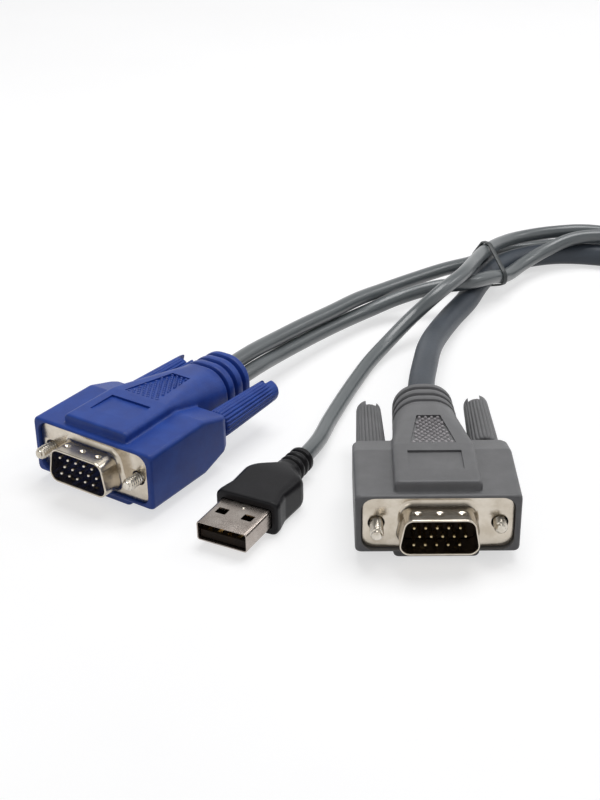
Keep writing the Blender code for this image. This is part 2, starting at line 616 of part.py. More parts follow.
def smooth(points):
    """A centripetal Catmull-Rom curve through the route points, densely sampled."""
    p = np.array(points, float)
    p = np.vstack([2 * p[0] - p[1], p, 2 * p[-1] - p[-2]])
    out = []
    for a, b, c, d in zip(p, p[1:], p[2:], p[3:]):
        t0 = 0.0
        t1 = t0 + math.sqrt(np.linalg.norm(b - a))
        t2 = t1 + math.sqrt(np.linalg.norm(c - b))
        t3 = t2 + math.sqrt(np.linalg.norm(d - c))
        for t in np.linspace(t1, t2, 24, endpoint=False):
            q1 = (t1 - t) / (t1 - t0) * a + (t - t0) / (t1 - t0) * b
            q2 = (t2 - t) / (t2 - t1) * b + (t - t1) / (t2 - t1) * c
            q3 = (t3 - t) / (t3 - t2) * c + (t - t2) / (t3 - t2) * d
            r1 = (t2 - t) / (t2 - t0) * q1 + (t - t0) / (t2 - t0) * q2
            r2 = (t3 - t) / (t3 - t1) * q2 + (t - t1) / (t3 - t1) * q3
            out.append((t2 - t) / (t2 - t1) * r1 + (t - t1) / (t2 - t1) * r2)
    out.append(p[-2])
    return np.array(out)


def cord(name, points, diameter, jacket):
    """A plain tube along the smooth route, with a point every two diameters or so."""
    dense = smooth(points)
    travelled = np.concatenate([[0], np.cumsum(np.linalg.norm(np.diff(dense, axis=0), axis=1))])
    count = min(80, max(8, int(travelled[-1] / (1.6 * diameter))))
    marks = np.linspace(0, travelled[-1], count)
    places = np.stack([np.interp(marks, travelled, dense[:, k]) for k in range(3)], 1)
    line = bpy.data.curves.new(name, "CURVE")
    line.dimensions = "3D"
    line.bevel_depth = diameter / 2 * MM
    line.bevel_resolution = 3 if diameter > LEG_DIAMETER else 2
    line.resolution_u = 1
    line.render_resolution_u = 0
    line.use_fill_caps = True
    spline = line.splines.new("POLY")
    spline.points.add(count - 1)
    for point, (x, y, z) in zip(spline.points, places):
        point.co = (x * MM, y * MM, z * MM, 1.0)
    line.materials.append(jacket)
    made = bpy.data.objects.new(name, line)
    part.objects.link(made)
    return dense


def exit_points(pose, end, x=0.0, z=0.0):
    """Where a cord starts in its socket, and where it has just left the collar."""
    start = end - SOCKET_DEPTH + CORD_GAP
    return [tuple((pose @ (Vector((x, y, z)) * MM)) / MM) for y in (start, end + 1.0)]


junction_legs = [(JUNCTION_START + SOCKET_DEPTH - CORD_GAP,
                  JUNCTION_Y + row * JUNCTION_LEG_SPACING, JUNCTION_Z) for row in (1, -1, 0)]
(x1, z1), (x2, z2) = leg_exits
routes = {
    "blue_leg_upper": (exit_points(blue_pose, COLLAR_END, x1, z1) + LEG_ONE_ROUTE
                       + [junction_legs[0]], LEG_DIAMETER, leg_jacket),
    "blue_leg_lower": (exit_points(blue_pose, COLLAR_END, x2, z2) + LEG_TWO_ROUTE
                       + [junction_legs[1]], LEG_DIAMETER, leg_jacket),
    "usb_leg": (exit_points(usb_pose, USB_COLLAR_END) + USB_LEG_ROUTE
                + [junction_legs[2]], USB_LEG_DIAMETER, leg_jacket),
    "trunk_cord": (exit_points(grey_pose, COLLAR_END) + TRUNK_ROUTE,
                   TRUNK_DIAMETER, trunk_jacket),
}
lines = {name: (cord(name, *facts), facts[1]) for name, facts in routes.items()}

# Coil of the trunk cord, put away beyond the picture.
coil_half = COIL_TURNS_ACROSS * COIL_TURN_PITCH / 2
coil_outline = rectangle(2 * coil_half, COIL_LAYERS * COIL_TURN_PITCH, COIL_EDGE, 3)
coil_middle = COIL_LIFT + COIL_LAYERS * COIL_TURN_PITCH / 2
coil_bm = bmesh.new()
coil_rows = []
for step in range(48):
    angle = 2 * math.pi * step / 48
    coil_rows.append([coil_bm.verts.new((
        COIL_CENTRE[0] + (COIL_MEAN_RADIUS + r) * math.cos(angle),
        COIL_CENTRE[1] + (COIL_MEAN_RADIUS + r) * math.sin(angle),
        coil_middle + z)) for r, z in coil_outline])
for low, high in zip(coil_rows, coil_rows[1:] + coil_rows[:1]):
    for k in range(len(coil_outline)):
        following = (k + 1) % len(coil_outline)
        coil_bm.faces.new((low[k], low[following], high[following], high[k]))
add("trunk_coil", coil_bm, colour=trunk_jacket)

# Junction where the trunk divides into the three legs.
turn_to_x = Matrix.Rotation(math.radians(-90), 4, "Z")
junction_pose = (Matrix.Translation((0, JUNCTION_Y * MM, JUNCTION_Z * MM)) @ turn_to_x)
junction = add("cord_junction", loft([
    (JUNCTION_START, rectangle(JUNCTION_LEG_WIDTH - 1, JUNCTION_HEIGHT - 1, JUNCTION_CORNER)),
    (JUNCTION_START + 0.6, rectangle(JUNCTION_LEG_WIDTH, JUNCTION_HEIGHT, JUNCTION_CORNER)),
    (JUNCTION_START + JUNCTION_SHOULDER, rectangle(JUNCTION_LEG_WIDTH, JUNCTION_HEIGHT,
                                                   JUNCTION_CORNER)),
    (JUNCTION_END - 4.0, rectangle(JUNCTION_TRUNK_WIDTH, JUNCTION_HEIGHT, JUNCTION_CORNER)),
    (JUNCTION_END, rectangle(JUNCTION_TRUNK_WIDTH - 0.6, JUNCTION_HEIGHT - 0.6,
                             JUNCTION_CORNER))]), junction_pose, black_pvc)
for number, (row, diameter) in enumerate(((-1, LEG_DIAMETER), (0, USB_LEG_DIAMETER),
                                          (1, LEG_DIAMETER)), 1):
    radius = diameter / 2 + SOCKET_CLEARANCE
    combine(junction, add("junction_socket_%d_cutter" % number, turned([
        (JUNCTION_START - 1, radius), (JUNCTION_START + SOCKET_DEPTH, radius)], 16,
        row * JUNCTION_LEG_SPACING), junction_pose, cutter=True))


def band(name, points, pose, width, thickness):
    """A closed band round the hull of the given circles (x, z, radius)."""
    cloud = []
    for x, z, radius in points:
        cloud += circle(radius, 24, x, z)
    inner = [cloud[k] for k in convex_hull_2d(cloud)]
    cloud = []
    for x, z, radius in points:
        cloud += circle(radius + thickness, 24, x, z)
    outer = [cloud[k] for k in convex_hull_2d(cloud)]
    made = add(name, prism(outer, -width / 2, width / 2), pose, tie_material)
    hole = add(name + "_cutter", prism(inner, -width / 2 - 1, width / 2 + 1), pose, cutter=True)
    combine(made, hole)
    return made


# Tie that gathers the trunk and the legs, sized from where they pass it.
tie_turn = math.radians(TIE_DIRECTION)
along = np.array([math.cos(tie_turn), math.sin(tie_turn)])
across = np.array([math.sin(tie_turn), -math.cos(tie_turn)])
held = []
for dense, diameter in lines.values():
    offset = dense[:, :2] - np.array(TIE_POINT)
    near = np.abs(offset @ along) < TIE_WIDTH / 2 + 1.0
    near &= np.abs(offset @ across) < 20
    for place_xy, z in zip(offset[near][::3], dense[near][::3, 2]):
        held.append((float(place_xy @ across), float(z), diameter / 2 + TIE_CLEARANCE))
tie_pose = (Matrix.Translation((TIE_POINT[0] * MM, TIE_POINT[1] * MM, 0))
            @ Matrix.Rotation(tie_turn - math.pi / 2, 4, "Z"))
band("bundle_tie", held, tie_pose, TIE_WIDTH, TIE_THICKNESS)

# Tie round the coil.
corner = COIL_EDGE + TIE_CLEARANCE
reach_x = coil_half + TIE_CLEARANCE - corner
reach_z = COIL_LAYERS * COIL_TURN_PITCH / 2 + TIE_CLEARANCE - corner
angle = math.radians(COIL_TIE_ANGLE)
coil_tie_pose = (Matrix.Translation((COIL_CENTRE[0] * MM, COIL_CENTRE[1] * MM, coil_middle * MM))
                 @ Matrix.Rotation(angle, 4, "Z"))
band("coil_tie", [(COIL_MEAN_RADIUS + sx * reach_x, sz * reach_z, corner)
                  for sx in (-1, 1) for sz in (-1, 1)], coil_tie_pose, TIE_WIDTH, TIE_THICKNESS)

# Stand the origin on the table under the middle of the three plugs.
bpy.context.view_layer.update()
graph = bpy.context.evaluated_depsgraph_get()
reach = []
for item in part.objects:
    if "_plug_" in item.name:
        seen = item.evaluated_get(graph)
        reach += [tuple(item.matrix_world @ vertex.co) for vertex in seen.to_mesh().vertices]
        seen.to_mesh_clear()
middle = (np.min(reach, axis=0) + np.max(reach, axis=0)) / 2
for item in list(part.objects) + list(cutters.objects):
    item.location.x -= float(middle[0])
    item.location.y -= float(middle[1])
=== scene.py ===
import math

import bmesh
import bpy
import numpy as np
from mathutils import Matrix, Vector


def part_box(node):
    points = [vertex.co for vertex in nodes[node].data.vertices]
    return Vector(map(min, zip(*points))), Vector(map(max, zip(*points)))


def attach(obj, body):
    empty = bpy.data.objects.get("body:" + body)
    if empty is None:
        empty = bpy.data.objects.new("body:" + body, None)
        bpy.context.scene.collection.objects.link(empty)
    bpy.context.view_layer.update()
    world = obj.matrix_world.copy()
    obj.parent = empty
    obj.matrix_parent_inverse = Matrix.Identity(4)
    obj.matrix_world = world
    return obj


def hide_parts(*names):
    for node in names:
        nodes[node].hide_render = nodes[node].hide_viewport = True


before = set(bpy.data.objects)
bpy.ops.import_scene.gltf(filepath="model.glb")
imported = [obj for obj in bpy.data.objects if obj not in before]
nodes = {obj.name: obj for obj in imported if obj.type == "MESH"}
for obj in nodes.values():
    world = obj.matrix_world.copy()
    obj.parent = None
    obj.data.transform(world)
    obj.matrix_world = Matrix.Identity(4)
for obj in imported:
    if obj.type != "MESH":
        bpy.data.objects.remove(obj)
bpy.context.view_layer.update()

mm = 0.001
scene = bpy.context.scene
cable = "cable"  # the body that all but the thumbscrews ride on

# where the plugs lie on the table: x, y, turn about the vertical and height of the middle
plugPlaces = {"blue": (-37.9, -7.8, -34.6, 9.1), "grey": (34.8, -34.4, -1.0, 9.1),
              "usb": (-9.4, -30.8, -28.2, 4.0)}

# the CAD model stands its origin under the plugs, so its coil tells how far it was moved
coil = {"centre": (179.3, 77.1), "outer": 45.9, "inner": 25.9, "last": 45.85,
        "inwards": 1080.0, "rise": 70.0, "outwards": 920.0, "layer": 6.6, "tieAngle": -50.0,
        "step": 12.0, "level": 3.35, "lift": 0.95, "liftSpread": 42.0, "drop": 2.0,
        "dropShare": 0.965}
coilLow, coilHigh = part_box("trunk_coil")
shift = [(coilLow[k] + coilHigh[k]) / 2 / mm - coil["centre"][k] for k in (0, 1)]


def placed(x, y, z, turn):
    # a place on the table, as a matrix in metres
    return (Matrix.Translation(((x + shift[0]) * mm, (y + shift[1]) * mm, z * mm))
            @ Matrix.Rotation(math.radians(turn), 4, "Z"))


plugAt = {name: placed(x, y, height, turn) for name, (x, y, turn, height) in plugPlaces.items()}
print("frame loaded, origin moved by %.4f, %.4f mm" % tuple(shift))


def linear(code):
    # an sRGB hex colour as the linear colour that Blender works in
    parts = [int(code[k:k + 2], 16) / 255 for k in (1, 3, 5)]
    return [c / 12.92 if c <= 0.04045 else ((c + 0.055) / 1.055) ** 2.4 for c in parts] + [1.0]


def addNode(tree, kind, settings=None, links=None):
    # one node, with its settings and the sockets that feed it
    node = tree.nodes.new(kind)
    for key, value in (settings or {}).items():
        if isinstance(key, int) or key in node.inputs:
            node.inputs[key].default_value = value
        else:
            setattr(node, key, value)
    for key, source in (links or {}).items():
        tree.links.new(source, node.inputs[key])
    return node


def makeMaterial(name, finish):
    # three close tones in soft patches, with a fine grain in the relief and in the gloss
    made = bpy.data.materials.new(name)
    made.use_nodes = True
    made.diffuse_color = linear(finish["tones"][1])
    tree = made.node_tree
    shader = tree.nodes["Principled BSDF"]
    for socket, value in finish.get("shader", {}).items():
        shader.inputs[socket].default_value = value
    place = addNode(tree, "ShaderNodeTexCoord").outputs["Object"]
    patches = addNode(tree, "ShaderNodeTexNoise",
                      {"Scale": 1 / (finish["patch"] * mm), "Detail": 4.0, "Roughness": 0.6},
                      {"Vector": place})
    grain = addNode(tree, "ShaderNodeTexNoise",
                    {"Scale": 1 / (finish["grain"] * mm), "Detail": 3.0, "Roughness": 0.6},
                    {"Vector": place})
    tone = addNode(tree, "ShaderNodeValToRGB", links={"Fac": patches.outputs["Fac"]})
    ramp = tone.color_ramp
    ramp.elements.new(0.5)
    for stop, position, code in zip(ramp.elements, (0.32, 0.5, 0.68), finish["tones"]):
        stop.position, stop.color = position, linear(code)
    tree.links.new(tone.outputs["Color"], shader.inputs["Base Color"])
    blur = addNode(tree, "ShaderNodeMath", {"operation": "MULTIPLY_ADD", 1: 0.5},
                   {0: patches.outputs["Fac"], 2: grain.outputs["Fac"]})  # smudges and grain
    gloss = addNode(tree, "ShaderNodeMapRange",
                    {"From Min": 0.5, "From Max": 1.0, "To Min": finish["roughness"][0],
                     "To Max": finish["roughness"][1]}, {"Value": blur.outputs["Value"]})
    tree.links.new(gloss.outputs["Result"], shader.inputs["Roughness"])
    relief = addNode(tree, "ShaderNodeBump", {"Distance": finish["relief"] * mm},
                     {"Height": grain.outputs["Fac"]})
    tree.links.new(relief.outputs["Normal"], shader.inputs["Normal"])
    return made


def plastic(level):
    # what the shader of a plastic gets: how it bends light, and how strongly it reflects
    return {"IOR": 1.53, "Specular IOR Level": level}


metal = {"Metallic": 1.0}
# tones are dark, middle and light; patch, grain and relief are in millimetres
finishes = {
    # soft PVC moulded in a spark-eroded cavity: satin, with broad soft highlights; the grain
    # is about 0.1 mm on the real one and drawn twice as coarse so that it shows
    "mouldedBluePvc": {"tones": ("#1B3C8C", "#1F4295", "#24499E"), "patch": 5.0, "grain": 0.22,
                       "relief": 0.02, "roughness": (0.36, 0.48), "shader": plastic(0.3)},
    "mouldedGreyPvc": {"tones": ("#676768", "#6C6C6D", "#727273"), "patch": 5.0, "grain": 0.22,
                       "relief": 0.02, "roughness": (0.38, 0.52), "shader": plastic(0.3)},
    "mouldedBlackPvc": {"tones": ("#111013", "#151417", "#1A191C"), "patch": 4.0, "grain": 0.22,
                        "relief": 0.018, "roughness": (0.32, 0.45), "shader": plastic(0.18)},
    # the same PVC made paler for the pips of the grip field: a painted highlight standing for the
    # light that the pips catch
    "bluePvcPaintedPipHighlight": {"tones": ("#1F4092", "#26499F", "#2D53AB"), "patch": 1.2, "grain": 0.22,
                      "relief": 0.02, "roughness": (0.3, 0.42), "shader": plastic(0.4)},
    "greyPvcPaintedPipHighlight": {"tones": ("#8C898B", "#9D999B", "#ADA9AB"), "patch": 1.2, "grain": 0.22,
                      "relief": 0.02, "roughness": (0.3, 0.42), "shader": plastic(0.4)},
    # glass-filled nylon blocks behind the pins: dull, nearly without highlights
    "navyNylonBlock": {"tones": ("#1B285C", "#213069", "#283A78"), "patch": 3.0, "grain": 0.3,
                       "relief": 0.012, "roughness": (0.45, 0.6), "shader": plastic(0.3)},
    "blackNylonBlock": {"tones": ("#17100B", "#1D150E", "#261B12"), "patch": 3.0, "grain": 0.3,
                        "relief": 0.012, "roughness": (0.5, 0.65), "shader": plastic(0.12)},
    # nickel over pressed steel: a warm grey mirror, dulled in patches by handling
    "nickelOnPressedSteel": {"tones": ("#BDB3A4", "#CAC1B3", "#D5CDC1"), "patch": 4.5, "grain": 0.5,
                             "relief": 0.0012, "roughness": (0.2, 0.27), "shader": metal},
    # drawn pins with polished noses, nickel on one plug and brass-toned on the other
    "nickelOnPin": {"tones": ("#C4BCAE", "#D6CFC3", "#E6E1D8"), "patch": 1.5, "grain": 0.3,
                    "relief": 0.002, "roughness": (0.14, 0.24), "shader": metal},
    "brassTonedPin": {"tones": ("#A9976F", "#BBAA84", "#CCBD9B"), "patch": 1.5, "grain": 0.3,
                      "relief": 0.002, "roughness": (0.18, 0.28), "shader": metal},
    # tin over the folded shell of the USB plug: greyer and softer than nickel
    "tinOnFoldedSteel": {"tones": ("#A0968F", "#ADA49D", "#B9B1AA"), "patch": 5.0, "grain": 0.5,
                         "relief": 0.0015, "roughness": (0.24, 0.32), "shader": metal},
    # nickel on a rolled thread: a broken glint along each crest
    "nickelOnScrew": {"tones": ("#B9B1A3", "#CDC6BA", "#DDD7CD"), "patch": 2.0, "grain": 0.4,
                      "relief": 0.0015, "roughness": (0.18, 0.27), "shader": metal},
    # a flash of gold, seen only through the windows
    "flashGold": {"tones": ("#C49A50", "#D6AF66", "#E3C283"), "patch": 2.0, "grain": 0.3,
                  "relief": 0.002, "roughness": (0.2, 0.3), "shader": metal},
    # extruded PVC jackets: the thin ones shine under a smooth skin, the thick one is powdery
    "glossyLegJacket": {"tones": ("#555B5D", "#5A6062", "#5F6567"), "patch": 25.0, "grain": 3.0,
                        "relief": 0.0, "roughness": (0.3, 0.34),
                        "shader": {**plastic(0.6), "Coat Weight": 0.5, "Coat Roughness": 0.3}},
    "matteTrunkJacket": {"tones": ("#383F47", "#3E454E", "#444C55"), "patch": 14.0, "grain": 0.6,
                         "relief": 0.004, "roughness": (0.4, 0.48), "shader": plastic(0.4)},
    # extruded nylon: a dull dark strip with a faint sheen
    "darkNylonTie": {"tones": ("#2C3031", "#353A3B", "#3E4344"), "patch": 2.0, "grain": 0.3,
                     "relief": 0.01, "roughness": (0.35, 0.48), "shader": plastic(0.5)}}
surface = {name: makeMaterial(name, finish) for name, finish in finishes.items()}
print("%d materials made" % len(surface))

# every CAD node gets the finish of what it stands for; later words win
nodeFinishes = (("blue_plug", "mouldedBluePvc"), ("grey_plug", "mouldedGreyPvc"),
                ("blue_plug_insulator", "navyNylonBlock"),
                ("grey_plug_insulator", "blackNylonBlock"), ("shell", "nickelOnPressedSteel"),
                ("_pin_", "nickelOnPin"), ("_screw_", "nickelOnScrew"),
                ("usb_plug_body", "mouldedBlackPvc"), ("junction", "mouldedBlackPvc"),
                ("tongue", "blackNylonBlock"), ("contact", "flashGold"),
                ("leg", "glossyLegJacket"), ("trunk", "matteTrunkJacket"),
                ("tie", "darkNylonTie"))
for name, node in nodes.items():
    chosen = [finish for words, finish in nodeFinishes if words in name][-1]
    if not node.material_slots:
        node.data.materials.append(surface[chosen])
    for holder in node.material_slots:
        holder.material = surface[chosen]


def lofted(rings, bm=None, loop=False):
    # outline after outline of (x, y, z) points, each extruded from the one before
    bm = bm or bmesh.new()
    rings = list(rings) + (list(rings[:1]) if loop else [])
    made = bmesh.ops.create_circle(bm, cap_ends=True, radius=1.0, segments=len(rings[0]))
    face = made["verts"][0].link_faces[0]
    firstCorners, firstEdges = list(face.verts), list(face.edges)
    for corner, point in zip(face.verts, rings[0]):
        corner.co = point
    for ring in rings[1:]:
        face = bmesh.ops.extrude_discrete_faces(bm, faces=[face])["faces"][0]
        for corner, point in zip(face.verts, ring):
            corner.co = point
    if loop:
        lastCorners = list(face.verts)
        bmesh.ops.delete(bm, geom=[face], context="FACES_ONLY")
        bmesh.ops.remove_doubles(bm, verts=firstCorners + lastCorners, dist=1e-5)
    else:
        bmesh.ops.contextual_create(bm, geom=firstEdges)
    return bm


def turned(profile, x=0.0, z=0.0, steps=24, bm=None):
    # a profile of (y, radius) pairs, from the axis back to the axis, spun once round it
    bm = bm or bmesh.new()
    line = [bm.verts.new((x + radius, y, z)) for y, radius in profile]
    edges = [bm.edges.new(pair) for pair in zip(line, line[1:])]
    bmesh.ops.spin(bm, geom=line + edges, cent=(x, 0, z), axis=(0, 1, 0),
                   angle=2 * math.pi, steps=steps, use_merge=True)
    poles = [vert for vert in bm.verts if math.hypot(vert.co.x - x, vert.co.z - z) < 1e-3]
    bmesh.ops.remove_doubles(bm, verts=poles, dist=5e-3)
    return bm


def block(size, centre, bm=None, turn=0.0):
    # a plain block, used to cut with; turn is about y, in degrees
    bm = bm or bmesh.new()
    bmesh.ops.create_cube(bm, size=1.0, matrix=(
        Matrix.Translation(centre) @ Matrix.Rotation(math.radians(turn), 4, "Y")
        @ Matrix.Diagonal((*size, 1))))
    return bm


def rounded(corners, radius, steps=6, fills=None):
    # a closed outline with round corners; fills are extra points along each side
    out = []
    count = len(corners)
    fills = fills or (0,) * count
    for index, corner in enumerate(corners):
        here, following = Vector(corner), Vector(corners[(index + 1) % count])
        before = (Vector(corners[index - 1]) - here).normalized()
        after = (following - here).normalized()
        half = before.angle(after) / 2
        centre = here + (before + after).normalized() * (radius / math.sin(half))
        start = here + before * (radius / math.tan(half)) - centre
        turn = 1 if before.x * after.y - before.y * after.x < 0 else -1
        for step in range(steps + 1):
            angle = turn * (math.pi - 2 * half) * step / steps
            c, s = math.cos(angle), math.sin(angle)
            out.append((centre.x + start.x * c - start.y * s,
                        centre.y + start.x * s + start.y * c))
        nextHalf = (here - following).angle(Vector(corners[(index + 2) % count])
                                            - following) / 2
        last, target = Vector(out[-1]), following - after * (radius / math.tan(nextHalf))
        for step in range(1, fills[index] + 1):
            out.append(tuple(last.lerp(target, step / (fills[index] + 1))))
    return out


def box(width, height, radius, steps=6, fills=None):
    w, h = width / 2, height / 2
    return rounded([(-w, -h), (w, -h), (w, h), (-w, h)], min(radius, 0.98 * w, 0.98 * h),
                   steps, fills)


def at(y, outline):
    return [(x, y, z) for x, z in outline]


def blend(y, start, end, first, last):
    return first + (last - first) * min(1.0, max(0.0, (y - start) / (end - start)))


def makeObject(name, bm):
    # a bmesh in millimetres as an object in metres
    bmesh.ops.recalc_face_normals(bm, faces=bm.faces)
    bmesh.ops.scale(bm, vec=(mm, mm, mm), verts=bm.verts)
    mesh = bpy.data.meshes.new(name)
    bm.to_mesh(mesh)
    bm.free()
    made = bpy.data.objects.new(name, mesh)
    scene.collection.objects.link(made)
    return made


def applyModifiers(made):
    graph = bpy.context.evaluated_depsgraph_get()
    graph.update()
    fresh = bpy.data.meshes.new_from_object(made.evaluated_get(graph))
    made.modifiers.clear()
    old, made.data = made.data, fresh
    bpy.data.meshes.remove(old)


def carve(made, bm):
    # cut closed tools, none of which touch each other, out of an object
    tool = makeObject("tool", bm)
    cut = made.modifiers.new("cut", "BOOLEAN")
    cut.operation, cut.solver, cut.object = "DIFFERENCE", "EXACT", tool
    applyModifiers(made)
    bpy.data.objects.remove(tool)
    return made


def mould(made, voxel, rounds, keep):
    # melt joined forms into one skin, with the soft edges that a mould leaves
    skin = made.modifiers.new("skin", "REMESH")
    skin.mode, skin.voxel_size = "VOXEL", voxel * mm
    ease = made.modifiers.new("ease", "SMOOTH")
    ease.factor, ease.iterations = 0.5, rounds
    thin = made.modifiers.new("thin", "DECIMATE")
    thin.ratio = keep
    applyModifiers(made)
    return made


def dress(made, pose, finish, body, replaced=(), sharp=38.0):
    # put a finished piece in its place: sharp is the angle past which an edge stays hard
    made.data.transform(pose)
    bm = bmesh.new()
    bm.from_mesh(made.data)
    for face in bm.faces:
        face.smooth = True
    for edge in bm.edges:
        if edge.is_manifold:
            edge.smooth = math.degrees(edge.calc_face_angle(0.0)) < sharp
    bm.to_mesh(made.data)
    bm.free()
    made.data.materials.clear()
    made.data.materials.append(surface[finish])
    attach(made, body)
    if replaced:
        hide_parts(*replaced)
    return made


# the moulded hood: two ears, a hump that narrows into a neck, and a ribbed collar
hood = {"width": 33.6, "height": 13.5, "rim": 0.8, "earFlat": 17.9, "earLength": 26.4,
        "rearWidth": 32.2, "rearHeight": 8.4, "earCorner": 1.6,
        "humpStart": 0.85, "humpWidth": 17.8, "humpHeight": 18.2, "flatEnd": 16.85,
        "narrowing": 0.6, "humpCorner": 1.1, "neckStart": 37.6, "neckWidth": 14.8,
        "neckHeight": 14.4, "collarEnd": 48.6, "collarWidth": 14.0, "collarHeight": 13.4,
        "collarCorner": 6.0, "grooves": (39.5, 42.8, 46.1), "grooveHalf": 0.72,
        "grooveDepth": 1.05, "endRadius": 0.6, "ringStep": 0.11, "edgeRadius": 1.0,
        "rimCut": 0.3, "rimSlope": 0.5, "rearFall": 0.81, "boreStart": 0.5, "boreEnd": 27.0,
        "voxel": 0.24, "rounds": 2, "keep": 0.34,
        # how the body sinks under the collar: past the first groove, and how deep
        "bodyEnd": ((-0.62, 0.0), (-0.5, 0.1), (-0.3, 0.95), (0.0, 1.1), (1.0, 2.2)),
        # where the collar starts inside the body: ahead of the first groove, and how deep
        "collarRoot": ((1.2, 2.4), (0.35, 1.0))}
mouldedEdge = ((0.0, 0.45), (0.12, 0.2), (0.45, 0.0))  # a rounded edge: how far in, how deep
flange = {"width": 30.8, "height": 12.0, "corner": 2.6, "thickness": 0.9, "gap": 0.15,
          "seatGap": 0.1, "backEdge": 0.12, "frontEdge": ((0.16, 0.0), (0.05, 0.05),
                                                          (0.0, 0.16))}
screw = {"side": 12.5, "bore": 1.75, "thread": 1.42, "pitch": 0.66, "threadDepth": 0.24,
         "threadLength": 8.5, "tipLength": 0.75, "tipShare": 0.62, "shank": 1.05,
         "shankStart": 7.4, "headStart": 9.6, "shoulder": 0.4, "reach": 5.3, "steps": 28,
         "ringsPerPitch": 7,
         "draw": {"blue": (0.8, 1.0), "grey": (0.2, 2.4)}}  # how far left and right stand back
labelField = {"start": 6.0, "length": 7.5, "wide": 11.2, "narrow": 11.2, "frontDepth": 0.24,
              "rearDepth": 0.5}
gripField = {"start": 16.8, "length": 14.4, "wide": 9.6, "narrow": 5.2, "frontDepth": 0.2,
             "rearDepth": 0.62, "pipPitch": 1.34, "rowPitch": 1.0, "pip": 0.43,
             "firstRow": 0.6, "margin": 0.5, "pipSunk": 0.04, "pipRise": 0.12}


def humpOutline(y, cut=0.0, steps=9):
    h = hood
    if y < h["neckStart"]:
        width = blend(y, h["humpStart"], h["flatEnd"], h["humpWidth"],
                      h["humpWidth"] - h["narrowing"])
        width = blend(y, h["flatEnd"], h["neckStart"], width, h["neckWidth"])
        height = blend(y, h["flatEnd"], h["neckStart"], h["humpHeight"], h["neckHeight"])
        corner = blend(y, h["flatEnd"], h["neckStart"], h["humpCorner"], h["collarCorner"])
    else:
        width = blend(y, h["neckStart"], h["collarEnd"], h["neckWidth"], h["collarWidth"])
        height = blend(y, h["neckStart"], h["collarEnd"], h["neckHeight"], h["collarHeight"])
        corner = h["collarCorner"]
    return box(width - 2 * cut, height - 2 * cut, corner - 0.6 * cut, steps, (1, 1, 1, 1))


def humpTop(y):
    return max(z for _, z in humpOutline(y))


def ribCut(y, grooves, halfWidth, depth):
    # how far the ribbed surface lies under the full rib: round-bottomed grooves, crowned ribs
    away = min(abs(y - centre) for centre in grooves) / halfWidth
    return depth * (1 - away ** 3) if away < 1 else 0.1 * max(0.0, 1 - (away - 1) / 1.2) ** 2


def hoodBody():
    # ears and hump up to the first groove, melted together
    h = hood
    body = lofted([at(y, box(width - 2 * cut, height - 2 * cut, h["edgeRadius"], 4))
                   for y, width, height, cut in (
                       (-h["rim"], h["width"], h["height"], h["rimCut"]),
                       (-h["rim"] + h["rimSlope"], h["width"], h["height"], 0.0),
                       (h["earFlat"], h["width"], h["height"], 0.0),
                       (h["earLength"] - h["earCorner"], h["width"],
                        h["height"] - (h["height"] - h["rearHeight"]) * h["rearFall"], 0.0),
                       (h["earLength"], h["rearWidth"], h["rearHeight"], 0.0))])
    places = [(h["humpStart"] + y, cut) for y, cut in mouldedEdge]
    places += [(y, 0.0) for y in np.linspace(3.0, h["neckStart"], 14)]
    places += [(h["grooves"][0] + y, cut) for y, cut in h["bodyEnd"]]
    lofted([at(y, humpOutline(y, cut)) for y, cut in places], body)
    return mould(makeObject("hoodBody", body), h["voxel"], h["rounds"], h["keep"])


def ribbedCollar(piece, outline):
    # the ribs behind a plug's first groove, with a rounded end
    first, end, radius = piece["grooves"][0], piece["collarEnd"], piece["endRadius"]
    places = [(first - y, cut) for y, cut in piece["collarRoot"]]
    for y in np.arange(first, end - radius, piece["ringStep"]):
        places.append((y, ribCut(y, piece["grooves"], piece["grooveHalf"],
                                 piece["grooveDepth"])))
    for turn in np.linspace(0.0, 90.0, 7):
        a = math.radians(turn)
        places.append((end - radius * (1 - math.sin(a)), radius * (1 - math.cos(a))))
    return lofted([at(y, outline(y, cut)) for y, cut in places])


def hoodCollarOutline(y, cut):
    return humpOutline(y, cut, 12)


def carveHood(made):
    # pocket for the flange, the bare label field, the grip field, then the screw bores
    f = flange
    tools = lofted([at(y, box(f["width"] + 2 * f["gap"], f["height"] + 2 * f["gap"],
                              f["corner"] + f["gap"]))
                    for y in (-2.0, f["thickness"] + f["seatGap"])])  # from ahead of the rim
    for field in (labelField, gripField):  # both get deeper towards the rear
        rows = []
        for y, width, depth in ((field["start"], field["wide"], field["frontDepth"]),
                                (field["start"] + field["length"], field["narrow"],
                                 field["rearDepth"])):
            floor = humpTop(y) - depth
            above = floor + 3.0  # well clear of the hump
            rows.append([(-width / 2, y, floor), (width / 2, y, floor),
                         (width / 2, y, above), (-width / 2, y, above)])
        lofted(rows, tools)
    carve(made, tools)
    bores = bmesh.new()
    for side in (-1, 1):
        turned([(hood["boreStart"], 0), (hood["boreStart"], screw["bore"]),
                (hood["boreEnd"], screw["bore"]), (hood["boreEnd"], 0)],
               side * screw["side"], steps=32, bm=bores)
    return carve(made, bores)


